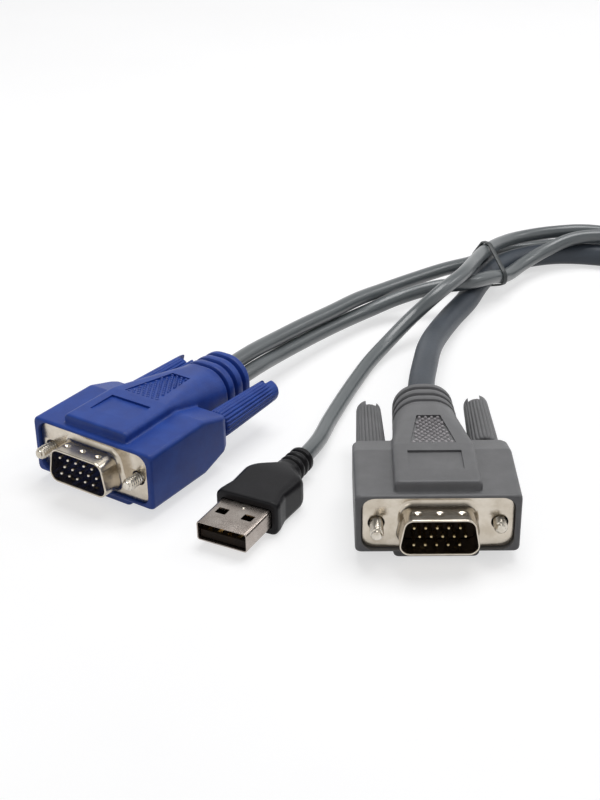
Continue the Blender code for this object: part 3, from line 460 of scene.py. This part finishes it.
def gripPips():
    # small round pips in staggered rows, standing on the sloped floor of the grip field
    bm = bmesh.new()
    g = gripField
    end = g["start"] + g["length"]
    rows = int((g["length"] - g["firstRow"] - g["margin"]) / g["rowPitch"]) + 1
    for row in range(rows):
        y = g["start"] + g["firstRow"] + row * g["rowPitch"]
        half = blend(y, g["start"], end, g["wide"], g["narrow"]) / 2 - g["margin"]
        depth = blend(y, g["start"], end, g["frontDepth"], g["rearDepth"])
        for step in range(-5, 6):
            x = (step + 0.5 * (row % 2)) * g["pipPitch"]
            if abs(x) <= half:
                bmesh.ops.create_uvsphere(bm, u_segments=10, v_segments=6, radius=1.0, matrix=(
                    Matrix.Translation((x, y, humpTop(y) - depth - g["pipSunk"]))
                    @ Matrix.Diagonal((g["pip"], g["pip"], g["pipRise"] + depth, 1))))
    return bm


# the steel shell: flange and D-shaped skirt drawn from one sheet, with pressed dimples
skirt = {"width": 16.92, "height": 8.36, "slope": 10.0, "corner": 2.2, "length": 5.9,
         "wall": 0.45, "flare": 1.3, "lipLength": 0.22,
         "lip": ((0.05, 0.08), (0.14, 0.01), (0.24, 0.0), (0.36, 0.03), (0.43, 0.12)),
         "dimpleY": -3.35, "dimpleDepth": 0.34, "dimpleHalfWidth": 0.95,
         "dimpleHalfLength": 0.8, "dimpleFace": 3.0,  # only past this height, top and bottom
         "dimples": {1: (-4.4, 0.0, 4.4), -1: (-3.4, 3.4)}}
outlineFills = (24, 8, 44, 8)  # extra points along each side, so that dimples have a grid


def skirtOutline(inset):
    s = skirt
    w, h = s["width"] / 2 - inset, s["height"] / 2 - inset
    top = w - 2 * h * math.tan(math.radians(s["slope"]))
    return rounded([(-w, -h), (w, -h), (top, h), (-top, h)], s["corner"] - inset, 8,
                   outlineFills)


def flangeOutline(inset):
    f = flange
    return box(f["width"] - 2 * inset, f["height"] - 2 * inset, f["corner"] - inset, 8,
               outlineFills)


def dimpled(outline, y):
    # the outline at y, sunk where a dimple is pressed
    s, out = skirt, []
    for x, z in outline:
        for side, places in s["dimples"].items():
            for place in places if z * side > s["dimpleFace"] else ():
                away = math.hypot((x - place) / s["dimpleHalfWidth"],
                                  (y - s["dimpleY"]) / s["dimpleHalfLength"])
                z -= side * s["dimpleDepth"] * max(0.0, 1 - away * away) ** 2
        out.append((x, y, z))
    return out


def shellPressing():
    s, back, edge = skirt, flange["thickness"], flange["backEdge"]
    rings = [at(back, skirtOutline(s["wall"])), at(back, flangeOutline(edge)),
             at(back - edge, flangeOutline(0.0))]
    rings += [at(y, flangeOutline(inset)) for y, inset in flange["frontEdge"]]
    for turn in np.linspace(0, math.pi / 2, 7):  # the drawn root flares into the flange
        rings.append(at(-s["flare"] * (1 - math.cos(turn)),
                        skirtOutline(-s["flare"] * (1 - math.sin(turn)))))
    front = s["lipLength"] - s["length"]
    rings += [dimpled(skirtOutline(0.0), y) for y in np.linspace(-s["flare"], front, 24)[1:]]
    rings += [at(y - s["length"], skirtOutline(inset)) for inset, y in s["lip"]]
    rings += [dimpled(skirtOutline(s["wall"]), y) for y in np.linspace(front, -s["flare"], 24)]
    return lofted(rings, loop=True)


def flangeHoles():
    bm = bmesh.new()
    for side in (-1, 1):
        turned([(-1.0, 0), (-1.0, screw["bore"]), (2.0, screw["bore"]), (2.0, 0)],
               side * screw["side"], steps=40, bm=bm)
    return bm


# fifteen round-nosed pins in three staggered rows
pins = {"radius": 0.38, "reach": 5.45, "seat": 4.0, "pitch": 2.29, "rowPitch": 1.98,
        "rowShifts": (-0.57, 0.57, -0.57), "columns": 5, "noseLength": 0.75,
        "nose": ((0.0, 0.0), (0.0, 0.12), (0.06, 0.22), (0.2, 0.31), (0.45, 0.365))}


def pinField():
    bm = bmesh.new()
    p = pins
    profile = [(y - p["reach"], radius) for y, radius in p["nose"]]
    profile += [(p["noseLength"] - p["reach"], p["radius"]), (p["seat"], p["radius"]),
                (p["seat"], 0)]
    for row, rowShift in enumerate(p["rowShifts"]):
        for column in range(p["columns"]):
            turned(profile, rowShift + (column - (p["columns"] - 1) / 2) * p["pitch"],
                   (1 - row) * p["rowPitch"], 16, bm)
    return bm


# thumbscrews: a rolled thread on the front, a plain shank and a fluted moulded knob
knob = {"length": 21.3, "gap": 0.3, "front": 3.45, "rear": 2.85, "flutes": 22,
        "fluteDepth": 0.3, "stepsPerFlute": 6, "ridge": 0.7,  # a lower power has flatter ridges
        "slotWidth": 2.7, "slotDepth": 2.6, "slotLength": 9.0, "slotTurn": 75.0, "seat": 8.9}


def screwBody(x, start, end):
    # a thread whose crest runs once round for each pitch, then the shank and the held head
    s, rings = screw, []
    count = s["steps"]
    for y in np.arange(0.0, s["threadLength"] + 0.01, s["pitch"] / s["ringsPerPitch"]):
        taper = min(1.0, s["tipShare"] + (1 - s["tipShare"]) * y / s["tipLength"])
        ring = []
        for k in range(count):
            phase = (y / s["pitch"] - k / count) % 1.0
            radius = (s["thread"] - s["threadDepth"] * (1 - abs(2 * phase - 1))) * taper
            angle = 2 * math.pi * k / count
            ring.append((x + radius * math.cos(angle), start + y, radius * math.sin(angle)))
        rings.append(ring)
    head = end - s["headStart"]
    for y, radius in ((start + s["shankStart"], s["shank"]), (head - s["shoulder"], s["shank"]),
                      (head, s["thread"]), (end, s["thread"])):
        rings.append([(x + radius * math.cos(2 * math.pi * k / count), y,
                       radius * math.sin(2 * math.pi * k / count)) for k in range(count)])
    return lofted(rings)


def knobBody(x, start):
    # rings as share of the length, how far the radius shrinks and share of the flutes' depth;
    # the flutes run out just before the slot, so that its lips are smooth
    k, rings = knob, []
    count = k["flutes"] * k["stepsPerFlute"]
    for share, shrink, cut in ((0, 0.5, 0.15), (0.008, 0.22, 0.5), (0.022, 0.05, 0.8),
                               (0.04, 0.0, 1.0), (0.35, 0.0, 1.0), (0.7, 0.0, 1.0),
                               (0.82, 0.0, 1.0), (0.855, 0.0, 0.55), (0.885, 0.01, 0.12),
                               (0.95, 0.02, 0.04), (0.972, 0.07, 0.0), (0.99, 0.22, 0.0),
                               (1.0, 0.5, 0.0)):
        base = k["front"] + (k["rear"] - k["front"]) * share - shrink
        ring = []
        for step in range(count):
            angle = 2 * math.pi * step / count
            ridge = abs(math.sin(k["flutes"] * angle / 2)) ** k["ridge"]
            radius = base - cut * k["fluteDepth"] * (1 - ridge)
            ring.append((x + radius * math.cos(angle), start + k["length"] * share,
                         radius * math.sin(angle)))
        rings.append(ring)
    return lofted(rings)


# each plug's grip pips get a paler PVC than its hood: a painted highlight
for colour, pvc, pipHighlightFinish, pinFinish in (("blue", "mouldedBluePvc", "bluePvcPaintedPipHighlight", "nickelOnPin"),
                                       ("grey", "mouldedGreyPvc", "greyPvcPaintedPipHighlight",
                                        "brassTonedPin")):
    pose, node, pvcSlot = plugAt[colour], colour + "_plug_", colour + "_moulded_pvc"
    if colour == "blue":
        master = carveHood(hoodBody())
    body = bpy.data.objects.new(colour + "Hood", master.data.copy())
    scene.collection.objects.link(body)
    dress(body, pose, pvc, cable, [node + "hood"], sharp=50)
    dress(makeObject(colour + "Collar", ribbedCollar(hood, hoodCollarOutline)), pose, pvc,
          cable, sharp=42)
    # the pips take the paler PVC, a painted highlight
    dress(makeObject(colour + "GripPips", gripPips()), pose, pipHighlightFinish, cable, sharp=80)
    dress(carve(makeObject(colour + "Shell", shellPressing()), flangeHoles()), pose,
          "nickelOnPressedSteel", cable, [node + "shell"], sharp=40)
    dress(makeObject(colour + "Pins", pinField()), pose, pinFinish, cable,
          [node + "pin_%02d" % number for number in range(1, 16)], sharp=60)
    for side, label, draw in ((-1, "left", screw["draw"][colour][0]),
                              (1, "right", screw["draw"][colour][1])):
        x, rider = side * screw["side"], colour + "_thumbscrew_" + label
        start = hood["earLength"] + knob["gap"] + draw
        end = start + knob["length"]
        dress(makeObject(colour + "Screw" + label.title(),
                         screwBody(x, draw - screw["reach"], start + knob["seat"])),
              pose, "nickelOnScrew", rider, [node + "screw_" + label],
              sharp=50)
        dress(carve(makeObject(colour + "Knob" + label.title(), knobBody(x, start)),
                    block((knob["slotLength"], 2 * knob["slotDepth"], knob["slotWidth"]),
                          (x, end, 0), turn=knob["slotTurn"] * side)),
              pose, pvc, rider, [node + "knob_" + label], sharp=40)
    print(colour + " plug made: hood of %d faces" % len(body.data.polygons))
bpy.data.objects.remove(master)

# the USB plug: a folded steel shell with four windows and a moulded body with a ribbed collar
usb = {"width": 12.0, "height": 4.5, "corner": 0.7, "wall": 0.3, "shellEnd": 13.6,
       "windowSide": 3.1, "windowY": 5.8, "windowWidth": 2.5, "windowLength": 2.2,
       "bodyStart": 10.4, "bodyWidth": 14.9, "bodyHeight": 8.0, "bodyCorner": 1.6,
       "straight": 1.6, "waistY": 15.6, "waistWidth": 13.3, "bulgeY": 21.8, "bulgeWidth": 14.3,
       "neckY": 28.2, "neckWidth": 6.6, "collarEnd": 36.0, "collarWidth": 6.0,
       "grooves": (29.9, 32.0, 34.1), "grooveHalf": 0.5, "grooveDepth": 0.62,
       "endRadius": 0.5, "ringStep": 0.09, "collarRoot": ((0.9, 1.7), (0.25, 0.72)),
       "bodyEnd": ((-0.5, 0.0), (-0.4, 0.1), (-0.2, 0.7), (0.0, 0.8), (0.8, 1.6)),
       "lip": ((0.0, 0.16), (0.02, 0.07), (0.08, 0.01), (0.15, 0.0), (0.23, 0.02),
               (0.28, 0.08), (0.3, 0.18)),  # the shell's mouth: how far in, how deep
       "windowCorner": 0.25, "windowDepth": (1.4, 3.4), "cornerGrowth": 0.5,
       "openingGap": 0.3, "openingCorner": 0.75, "openingDepth": 0.15,
       "seam": (0.09, 12.4, 0.3), "seamPlace": (0.9, 5.2), "boss": (0.42, 0.42, 0.24),
       "bossPlace": (0.35, 8.7), "bossSunk": 0.04, "voxel": 0.17, "rounds": 2, "keep": 0.4}


def usbShell():
    u, rings = usb, []
    for inset, y in ((0.0, u["shellEnd"]), *u["lip"], (u["wall"], u["shellEnd"])):
        rings.append(at(y, box(u["width"] - 2 * inset, u["height"] - 2 * inset,
                               max(u["corner"] - inset, 0.3))))
    return lofted(rings, loop=True)


def usbWindows():
    # two windows on top and two below, for the springs of the socket
    u, bm = usb, bmesh.new()
    for side in (-1, 1):
        for z in (-1, 1):
            lofted([[(side * u["windowSide"] + x, u["windowY"] + y, z * depth)
                     for x, y in box(u["windowWidth"], u["windowLength"], u["windowCorner"], 3)]
                    for depth in u["windowDepth"]], bm)
    return bm


def usbSection(y):
    # the width, height and corner of the body at y, as far as its neck
    u = usb
    shoulder = u["bodyStart"] + u["straight"]
    if y < u["bulgeY"]:
        width = blend(y, shoulder, u["waistY"], u["bodyWidth"], u["waistWidth"])
        if y > u["waistY"]:
            width = blend(y, u["waistY"], u["bulgeY"], u["waistWidth"], u["bulgeWidth"])
        growth = blend(y, u["waistY"], u["bulgeY"], 0.0, u["cornerGrowth"])
        return width, u["bodyHeight"], u["bodyCorner"] + growth
    share = (y - u["bulgeY"]) / (u["neckY"] - u["bulgeY"])
    ease = (1 - math.cos(math.pi * share ** 1.25)) / 2
    return (u["bulgeWidth"] + (u["neckWidth"] - u["bulgeWidth"]) * ease,
            u["bodyHeight"] + (u["neckWidth"] - u["bodyHeight"]) * share ** 2,
            blend(share, 0, 1, u["bodyCorner"] + u["cornerGrowth"], u["neckWidth"] / 2))


def usbCollarOutline(y, cut):
    width = blend(y, usb["neckY"], usb["collarEnd"], usb["neckWidth"], usb["collarWidth"])
    return box(width - 2 * cut, width - 2 * cut, width / 2 - cut, 12)


def usbBody():
    u, rings = usb, []
    places = [(u["bodyStart"] + y, cut) for y, cut in mouldedEdge]
    places += [(y, 0.0) for y in np.arange(u["bodyStart"] + 1.0, u["neckY"] + 0.01, 0.4)]
    for y, cut in places:
        width, height, corner = usbSection(min(y, u["neckY"]))
        rings.append(at(y, box(width - 2 * cut, height - 2 * cut, corner, 12)))
    for behind, cut in u["bodyEnd"]:
        y = u["grooves"][0] + behind
        rings.append(at(y, usbCollarOutline(y, cut)))
    made = mould(makeObject("usbBody", lofted(rings)), u["voxel"], u["rounds"], u["keep"])
    width, height = u["width"] + u["openingGap"], u["height"] + u["openingGap"]
    return carve(made, lofted([at(y, box(width, height, u["openingCorner"])) for y in (
        u["bodyStart"] - 1, u["shellEnd"] + u["openingDepth"])]))


pose = plugAt["usb"]
shell = carve(makeObject("usbShell", usbShell()), usbWindows())
carve(shell, block(usb["seam"], (*usb["seamPlace"], -usb["height"] / 2)))  # the folded seam
dress(shell, pose, "tinOnFoldedSteel", cable, ["usb_plug_shell"],
      sharp=40)
boss = bmesh.new()  # the small pressed boss on the shell, near the body
bossPlace = Matrix.Translation((*usb["bossPlace"], usb["height"] / 2 - usb["bossSunk"]))
bmesh.ops.create_uvsphere(boss, u_segments=20, v_segments=12, radius=1.0,
                          matrix=bossPlace @ Matrix.Diagonal((*usb["boss"], 1)))
dress(makeObject("usbShellBoss", boss), pose, "nickelOnScrew", cable)
dress(usbBody(), pose, "mouldedBlackPvc", cable, ["usb_plug_body"],
      sharp=50)
dress(makeObject("usbCollar", ribbedCollar(usb, usbCollarOutline)), pose, "mouldedBlackPvc",
      cable, sharp=42)
print("USB plug made")

# the cords, on the routes that part.py gives them, but with the two blue legs a little closer
cords = {"trunk": 6.4, "leg": 3.9, "usbLeg": 3.8, "socket": 1.5, "gap": 0.3, "straight": 1.0,
         "legExit": (1.1, 1.67)}
junction = {"start": 129.6, "end": 152.2, "y": 122.95, "z": 4.6, "spacing": 4.45,
            "legWidth": 15.4, "trunkWidth": 9.2, "height": 8.2, "corner": 2.6,
            "flat": 6.0, "taperStart": 9.0, "taperEnd": 2.5,  # from the start, and to the end
            "edge": ((0.0, 0.9), (0.12, 0.5), (0.4, 0.15), (0.9, 0.0))}
upperLegRoute = [
    (-4.4, 43.5, 10.4), (2.3, 53.4, 9.5), (8.4, 61.3, 9.1), (16.0, 70.5, 8.6),
    (23.7, 79.7, 8.25), (30.7, 86.9, 7.6), (39.8, 94.8, 7.3), (49.2, 102.1, 7.1),
    (59.0, 108.9, 6.6), (65.3, 118.9, 5.4), (72.2, 125.8, 3.6), (82.9, 131.0, 2.3),
    (94.7, 132.5, 2.1), (104.7, 131.8, 2.3), (116.5, 129.6, 3.2), (124.0, 127.9, 4.2)]
lowerLegRoute = [
    (-3.7, 40.5, 7.2), (1.2, 49.2, 6.08), (6.9, 57.4, 5.45), (13.0, 65.3, 5.0),
    (19.5, 72.9, 4.66), (26.8, 79.85, 4.72), (35.2, 84.7, 6.1), (44.8, 86.5, 8.2),
    (54.3, 87.6, 9.0), (61.7, 94.1, 7.8), (67.5, 102.0, 5.1), (73.4, 110.0, 5.1),
    (80.9, 116.4, 6.6), (89.8, 120.3, 8.7), (99.7, 121.2, 8.9), (109.5, 120.4, 7.3),
    (119.3, 119.2, 5.6), (124.5, 118.7, 4.9)]
usbLegRoute = [
    (11.5, 11.1, 3.0), (14.0, 20.7, 2.3), (17.6, 32.2, 2.0), (20.9, 41.6, 1.95),
    (25.4, 52.7, 2.3), (30.4, 61.3, 3.5), (37.8, 69.7, 7.2), (45.2, 74.7, 11.8),
    (52.4, 83.8, 13.3), (57.0, 94.9, 12.4), (60.8, 104.1, 11.4), (66.8, 114.3, 10.0),
    (73.8, 121.4, 9.0), (84.8, 125.7, 8.8), (94.8, 126.4, 8.8), (106.7, 125.4, 7.3),
    (116.5, 124.0, 5.7), (124.0, 123.1, 4.8)]
trunkRoute = [
    (36.5, 26.8, 8.7), (38.7, 40.6, 7.8), (40.8, 52.3, 6.4), (43.9, 63.8, 4.7),
    (48.9, 76.8, 3.6), (54.3, 87.5, 3.6), (59.3, 98.6, 4.5), (66.1, 110.4, 4.3),
    (74.6, 118.6, 3.5), (85.6, 122.0, 3.35), (97.5, 120.2, 3.35), (109.6, 114.8, 3.35),
    (121.6, 107.4, 3.7), (130.4, 98.4, 3.9), (133.2, 87.0, 3.5)]
trunkHome = [(169.6, 122.95, 7.0), (160.6, 122.95, 4.9)]


def smooth(points, samples=24):
    # a centripetal Catmull-Rom curve through the route's points
    p = np.array(points, float)
    p = np.vstack([2 * p[0] - p[1], p, 2 * p[-1] - p[-2]])
    out = []
    for a, b, c, d in zip(p, p[1:], p[2:], p[3:]):
        t1 = math.sqrt(np.linalg.norm(b - a))
        t2 = t1 + math.sqrt(np.linalg.norm(c - b))
        t3 = t2 + math.sqrt(np.linalg.norm(d - c))
        for t in np.linspace(t1, t2, samples, endpoint=False):
            q1 = (t1 - t) / t1 * a + t / t1 * b
            q2 = (t2 - t) / (t2 - t1) * b + (t - t1) / (t2 - t1) * c
            q3 = (t3 - t) / (t3 - t2) * c + (t - t2) / (t3 - t2) * d
            r1 = (t2 - t) / t2 * q1 + t / t2 * q2
            r2 = (t3 - t) / (t3 - t1) * q2 + (t - t1) / (t3 - t1) * q3
            out.append((t2 - t) / (t2 - t1) * r1 + (t - t1) / (t2 - t1) * r2)
    out.append(p[-2])
    return np.array(out)


def routeLength(points):
    return float(np.linalg.norm(np.diff(points, axis=0), axis=1).sum())


def layCord(name, points, diameter, finish, step, slotName, replaced):
    # a round cord on one smooth curve, with a point every step millimetres
    travelled = np.concatenate([[0], np.cumsum(np.linalg.norm(np.diff(points, axis=0), axis=1))])
    count = int(travelled[-1] / step) + 1
    marks = np.linspace(0, travelled[-1], count)
    places = np.stack([np.interp(marks, travelled, points[:, k]) for k in range(3)], 1)
    line = bpy.data.curves.new(name, "CURVE")
    line.dimensions = "3D"
    line.bevel_depth, line.bevel_resolution = diameter / 2 * mm, 10
    line.resolution_u = 1
    line.use_fill_caps = True
    spline = line.splines.new("POLY")
    spline.points.add(count - 1)
    for point, place in zip(spline.points, places):
        point.co = (*inMetres(place), 1.0)
    spline.use_smooth = True
    line.materials.append(surface[finish])
    made = bpy.data.objects.new(name, line)
    scene.collection.objects.link(made)
    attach(made, cable)
    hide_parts(*replaced)
    return made


def inMetres(point):
    return ((point[0] + shift[0]) * mm, (point[1] + shift[1]) * mm, point[2] * mm)


def exitPoints(plug, end, x=0.0, z=0.0):
    # where a cord starts in its collar and where it has left it
    out = []
    for y in (end - cords["socket"] + cords["gap"], end + cords["straight"]):
        point = plugAt[plug] @ (Vector((x, y, z)) * mm) / mm
        out.append((point.x - shift[0], point.y - shift[1], point.z))
    return out


def coilPoints():
    # three turns inwards on the table, two and a half outwards on top, then down
    out = []
    total = coil["inwards"] + coil["rise"] + coil["outwards"]
    for travelled in np.arange(coil["step"], total - 0.01, coil["step"]):
        angle = 180.0 + travelled
        away = abs((angle - coil["tieAngle"] + 180) % 360 - 180)
        level = coil["level"] + coil["lift"] * math.exp(
            -(away / coil["liftSpread"]) ** 2)  # lifted a little by its tie
        if travelled < coil["inwards"]:
            radius = blend(travelled, 0, coil["inwards"], coil["outer"], coil["inner"])
        else:
            share = (travelled - coil["inwards"]) / coil["rise"]
            radius = coil["inner"]
            level += coil["layer"] * (share * share * (3 - 2 * share) if share < 1 else 1)
            if share > 1:
                share = (travelled - coil["inwards"] - coil["rise"]) / coil["outwards"]
                radius = coil["inner"] + (coil["last"] - coil["inner"]) * share
                level -= coil["drop"] * max(0.0, (share - coil["dropShare"])
                                            / (1 - coil["dropShare"])) ** 2
        out.append((coil["centre"][0] + radius * math.cos(math.radians(angle)),
                    coil["centre"][1] + radius * math.sin(math.radians(angle)), level))
    return out


legEnds = [(junction["start"] + cords["socket"] - cords["gap"],
            junction["y"] + row * junction["spacing"], junction["z"]) for row in (1, -1, 0)]
exitX, exitZ = cords["legExit"]
lines = {
    "upperBlueLeg": smooth(exitPoints("blue", hood["collarEnd"], -exitX, exitZ)
                           + upperLegRoute + legEnds[:1]),
    "lowerBlueLeg": smooth(exitPoints("blue", hood["collarEnd"], exitX, -exitZ)
                           + lowerLegRoute + legEnds[1:2]),
    "usbLeg": smooth(exitPoints("usb", usb["collarEnd"]) + usbLegRoute + legEnds[2:]),
    "trunkCord": smooth(exitPoints("grey", hood["collarEnd"]) + trunkRoute + coilPoints()
                        + trunkHome + [(junction["end"] - 1.0, junction["y"],
                                        junction["z"])], 8)}
laid = {}
legLook = ("glossyLegJacket", 0.9, "grey_leg_jacket")  # finish, step and slot
for name, diameter, look, replaced in (
        ("upperBlueLeg", cords["leg"], legLook, ["blue_leg_upper"]),
        ("lowerBlueLeg", cords["leg"], legLook, ["blue_leg_lower"]),
        ("usbLeg", cords["usbLeg"], legLook, ["usb_leg"]),
        ("trunkCord", cords["trunk"], ("matteTrunkJacket", 1.8, "grey_trunk_jacket"),
         ["trunk_cord", "trunk_coil"])):
    laid[name] = (layCord(name, lines[name], diameter, *look, replaced), diameter)
print("cords laid: " + ", ".join("%s %.0f mm" % (name, routeLength(line))
                                 for name, line in lines.items()))

# the junction where the trunk divides, and the ties round the bundle and the coil
tie = {"point": (62.6, 104.6), "direction": 22.0, "width": 1.3, "thickness": 0.55, "gap": 0.08,
       "reach": 0.5, "bundle": 20.0, "steps": 120}  # it holds what lies this close to its point
coilTie = {"middle": 36.0, "level": 7.8, "halfWidth": 13.2, "halfDepth": 6.6, "corner": 2.6}


def junctionBody():
    j = junction
    rings = [(j["start"] + y, j["legWidth"], cut) for y, cut in j["edge"]]
    rings.append((j["start"] + j["flat"], j["legWidth"], 0.0))
    for share in np.linspace(0.0, 1.0, 9):  # the sides draw in along a soft S
        ease = (1 - math.cos(math.pi * share)) / 2
        rings.append((blend(share, 0, 1, j["start"] + j["taperStart"], j["end"] - j["taperEnd"]),
                      j["legWidth"] + (j["trunkWidth"] - j["legWidth"]) * ease, 0.0))
    rings += [(j["end"] - y, j["trunkWidth"], cut) for y, cut in reversed(j["edge"])]
    return lofted([at(y, box(width - 2 * cut, j["height"] - 2 * cut, j["corner"] - 0.5 * cut, 8))
                   for y, width, cut in rings])


def tieBand(circles):
    # a band with rounded edges, pulled round the outside of the circles (x, z, radius)
    half, thick = tie["width"] / 2, tie["thickness"]
    profile = []
    for turn in range(0, 360, 30):
        a = math.radians(turn)
        profile.append((half * math.copysign(abs(math.cos(a)) ** 0.5, math.cos(a)),
                        thick / 2 + thick / 2 * math.copysign(abs(math.sin(a)) ** 0.5,
                                                              math.sin(a))))
    rings = []
    for y, out in profile:
        ring = []
        for step in range(tie["steps"]):
            a = 2 * math.pi * step / tie["steps"]
            x, z, radius = max(circles, key=lambda c: c[0] * math.cos(a) + c[1] * math.sin(a)
                               + c[2])
            reach = radius + tie["gap"] + out
            ring.append((x + reach * math.cos(a), y, z + reach * math.sin(a)))
        rings.append(ring)
    return lofted(rings, loop=True)


direction = math.radians(tie["direction"])
along = np.array([math.cos(direction), math.sin(direction)])
across = np.array([math.sin(direction), -math.cos(direction)])
held = []
for name, line in lines.items():
    offset = line[:, :2] - np.array(tie["point"])
    near = ((np.abs(offset @ along) < tie["width"] / 2 + tie["reach"])
            & (np.abs(offset @ across) < tie["bundle"]))
    held += [(float(spot @ across), float(z), laid[name][1] / 2)
             for spot, z in zip(offset[near], line[near][:, 2])]
tiePose = placed(*tie["point"], 0.0, tie["direction"] - 90.0)
dress(makeObject("bundleTie", tieBand(held)), tiePose, "darkNylonTie", cable,
      ["bundle_tie"], sharp=50)
c, corners = coilTie, []
for sx in (-1, 1):
    for sz in (-1, 1):
        corners.append((c["middle"] + sx * (c["halfWidth"] - c["corner"]),
                        sz * (c["halfDepth"] - c["corner"]), c["corner"]))
dress(makeObject("coilTie", tieBand(corners)),
      placed(*coil["centre"], c["level"], coil["tieAngle"]), "darkNylonTie", cable,
      ["coil_tie"], sharp=50)
dress(makeObject("cordJunction", junctionBody()),
      placed(0.0, junction["y"], junction["z"], -90.0), "mouldedBlackPvc", cable,
      ["cord_junction"], sharp=50)
print("ties and junction made")

for name, farEnd, lay, pieces in (
        ("upperBlueLeg", "object", "loose", []), ("lowerBlueLeg", "object", "loose", []),
        ("usbLeg", "object", "loose", []),
        ("trunkCord", "fitting", "coiled", ["cordJunction", "bundleTie", "coilTie"])):
    made, diameter = laid[name]

# a white table and backdrop: half of the table's white is seen only by the camera and in
# reflections, so it lights the plugs from below no more than a grey one would
studio = {"floor": ("#B0B0B0", "#B2B2B2", "#B4B4B4"), "floorSize": 6.0, "floorGlow": 0.62,
          "dim": 0.25,  # the backdrop's own light on the plugs; below, its level by height
          "mirror": ((0.0, 1.0), (0.08, 1.0), (0.35, 0.85), (0.6, 0.6), (0.8, 0.25),
                     (1.0, 0.2)),
          "lamps": (("overheadSoftbox", (0.12, 0.2, 0.78), (0.02, 0.02, 0), 0.6, 0.45, 4.3),
                    ("rimSoftbox", (0.52, 0.2, 0.42), (0.0, 0.0, 0), 0.16, 0.16, 0.4),
                    ("frontFill", (-0.4, -0.6, 0.5), (0.0, 0.0, 0), 0.5, 0.4, 0.5))}


def seenBy(tree, first, *others):
    # 1 for rays of any of these kinds
    path = addNode(tree, "ShaderNodeLightPath")
    value = path.outputs[first]
    for other in others:
        value = addNode(tree, "ShaderNodeMath", {"operation": "MAXIMUM"},
                        {0: value, 1: path.outputs[other]}).outputs["Value"]
    return value


floorMesh = bpy.data.meshes.new("table")
floorShape = bmesh.new()
bmesh.ops.create_grid(floorShape, x_segments=1, y_segments=1, size=studio["floorSize"])
floorShape.to_mesh(floorMesh)
floorShape.free()
table = bpy.data.objects.new("table", floorMesh)
scene.collection.objects.link(table)
surface["whiteTable"] = makeMaterial("whiteTable", {
    "tones": studio["floor"], "patch": 80.0, "grain": 2.0,
    "relief": 0.0, "roughness": (0.8, 0.9), "shader": {"Specular IOR Level": 0.1,
                                                       "Emission Color": (1, 1, 1, 1)}})
floorMesh.materials.append(surface["whiteTable"])
tree = surface["whiteTable"].node_tree
glow = addNode(tree, "ShaderNodeMath", {"operation": "MULTIPLY", 1: studio["floorGlow"]},
               {0: seenBy(tree, "Is Camera Ray", "Is Glossy Ray", "Is Transmission Ray")})
tree.links.new(glow.outputs["Value"], tree.nodes["Principled BSDF"].inputs["Emission Strength"])

world = bpy.data.worlds.new("studio")
world.use_nodes = True
scene.world = world
tree = world.node_tree
height = addNode(tree, "ShaderNodeSeparateXYZ", links={
    "Vector": addNode(tree, "ShaderNodeTexCoord").outputs["Generated"]})
mirror = addNode(tree, "ShaderNodeValToRGB", links={"Fac": height.outputs["Z"]})
ramp = mirror.color_ramp
for extra in studio["mirror"][2:]:
    ramp.elements.new(extra[0])
for stop, (position, level) in zip(ramp.elements, studio["mirror"]):
    stop.position, stop.color = position, (level, level, level, 1.0)
dim = studio["dim"]
reflected = addNode(tree, "ShaderNodeMix", {"data_type": "RGBA", 6: (dim, dim, 1.04 * dim, 1.0)},
                    {0: seenBy(tree, "Is Glossy Ray"), 7: mirror.outputs["Color"]})
backdrop = addNode(tree, "ShaderNodeMix", {"data_type": "RGBA", 7: (1.0, 1.0, 1.0, 1.0)},
                   {0: seenBy(tree, "Is Camera Ray", "Is Transmission Ray"),
                    6: reflected.outputs[2]})
tree.links.new(backdrop.outputs[2], tree.nodes["Background"].inputs["Color"])

for name, place, target, width, depth, power in studio["lamps"]:
    lamp = bpy.data.lights.new(name, "AREA")
    lamp.shape, lamp.size, lamp.size_y, lamp.energy = "RECTANGLE", width, depth, power
    made = bpy.data.objects.new(name, lamp)
    made.location = place
    made.rotation_euler = (Vector(target) - Vector(place)).to_track_quat("-Z", "Y").to_euler()
    scene.collection.objects.link(made)

# the camera stands where the photographer's did
view = {"place": (7.299, -277.898, 166.5), "down": 27.89, "roll": -0.96, "lens": 64.2}
eye = bpy.data.cameras.new("camera")
eye.lens, eye.sensor_width = view["lens"], 36.0
eye.clip_start, eye.clip_end = 0.01, 20.0
camera = bpy.data.objects.new("camera", eye)
scene.collection.objects.link(camera)
camera.matrix_world = (Matrix.Translation(inMetres(view["place"]))
                       @ Matrix.Rotation(math.radians(90 - view["down"]), 4, "X")
                       @ Matrix.Rotation(math.radians(view["roll"]), 4, "Z"))
scene.camera = camera
scene.view_settings.view_transform = "Standard"
print("stage, light and camera set")
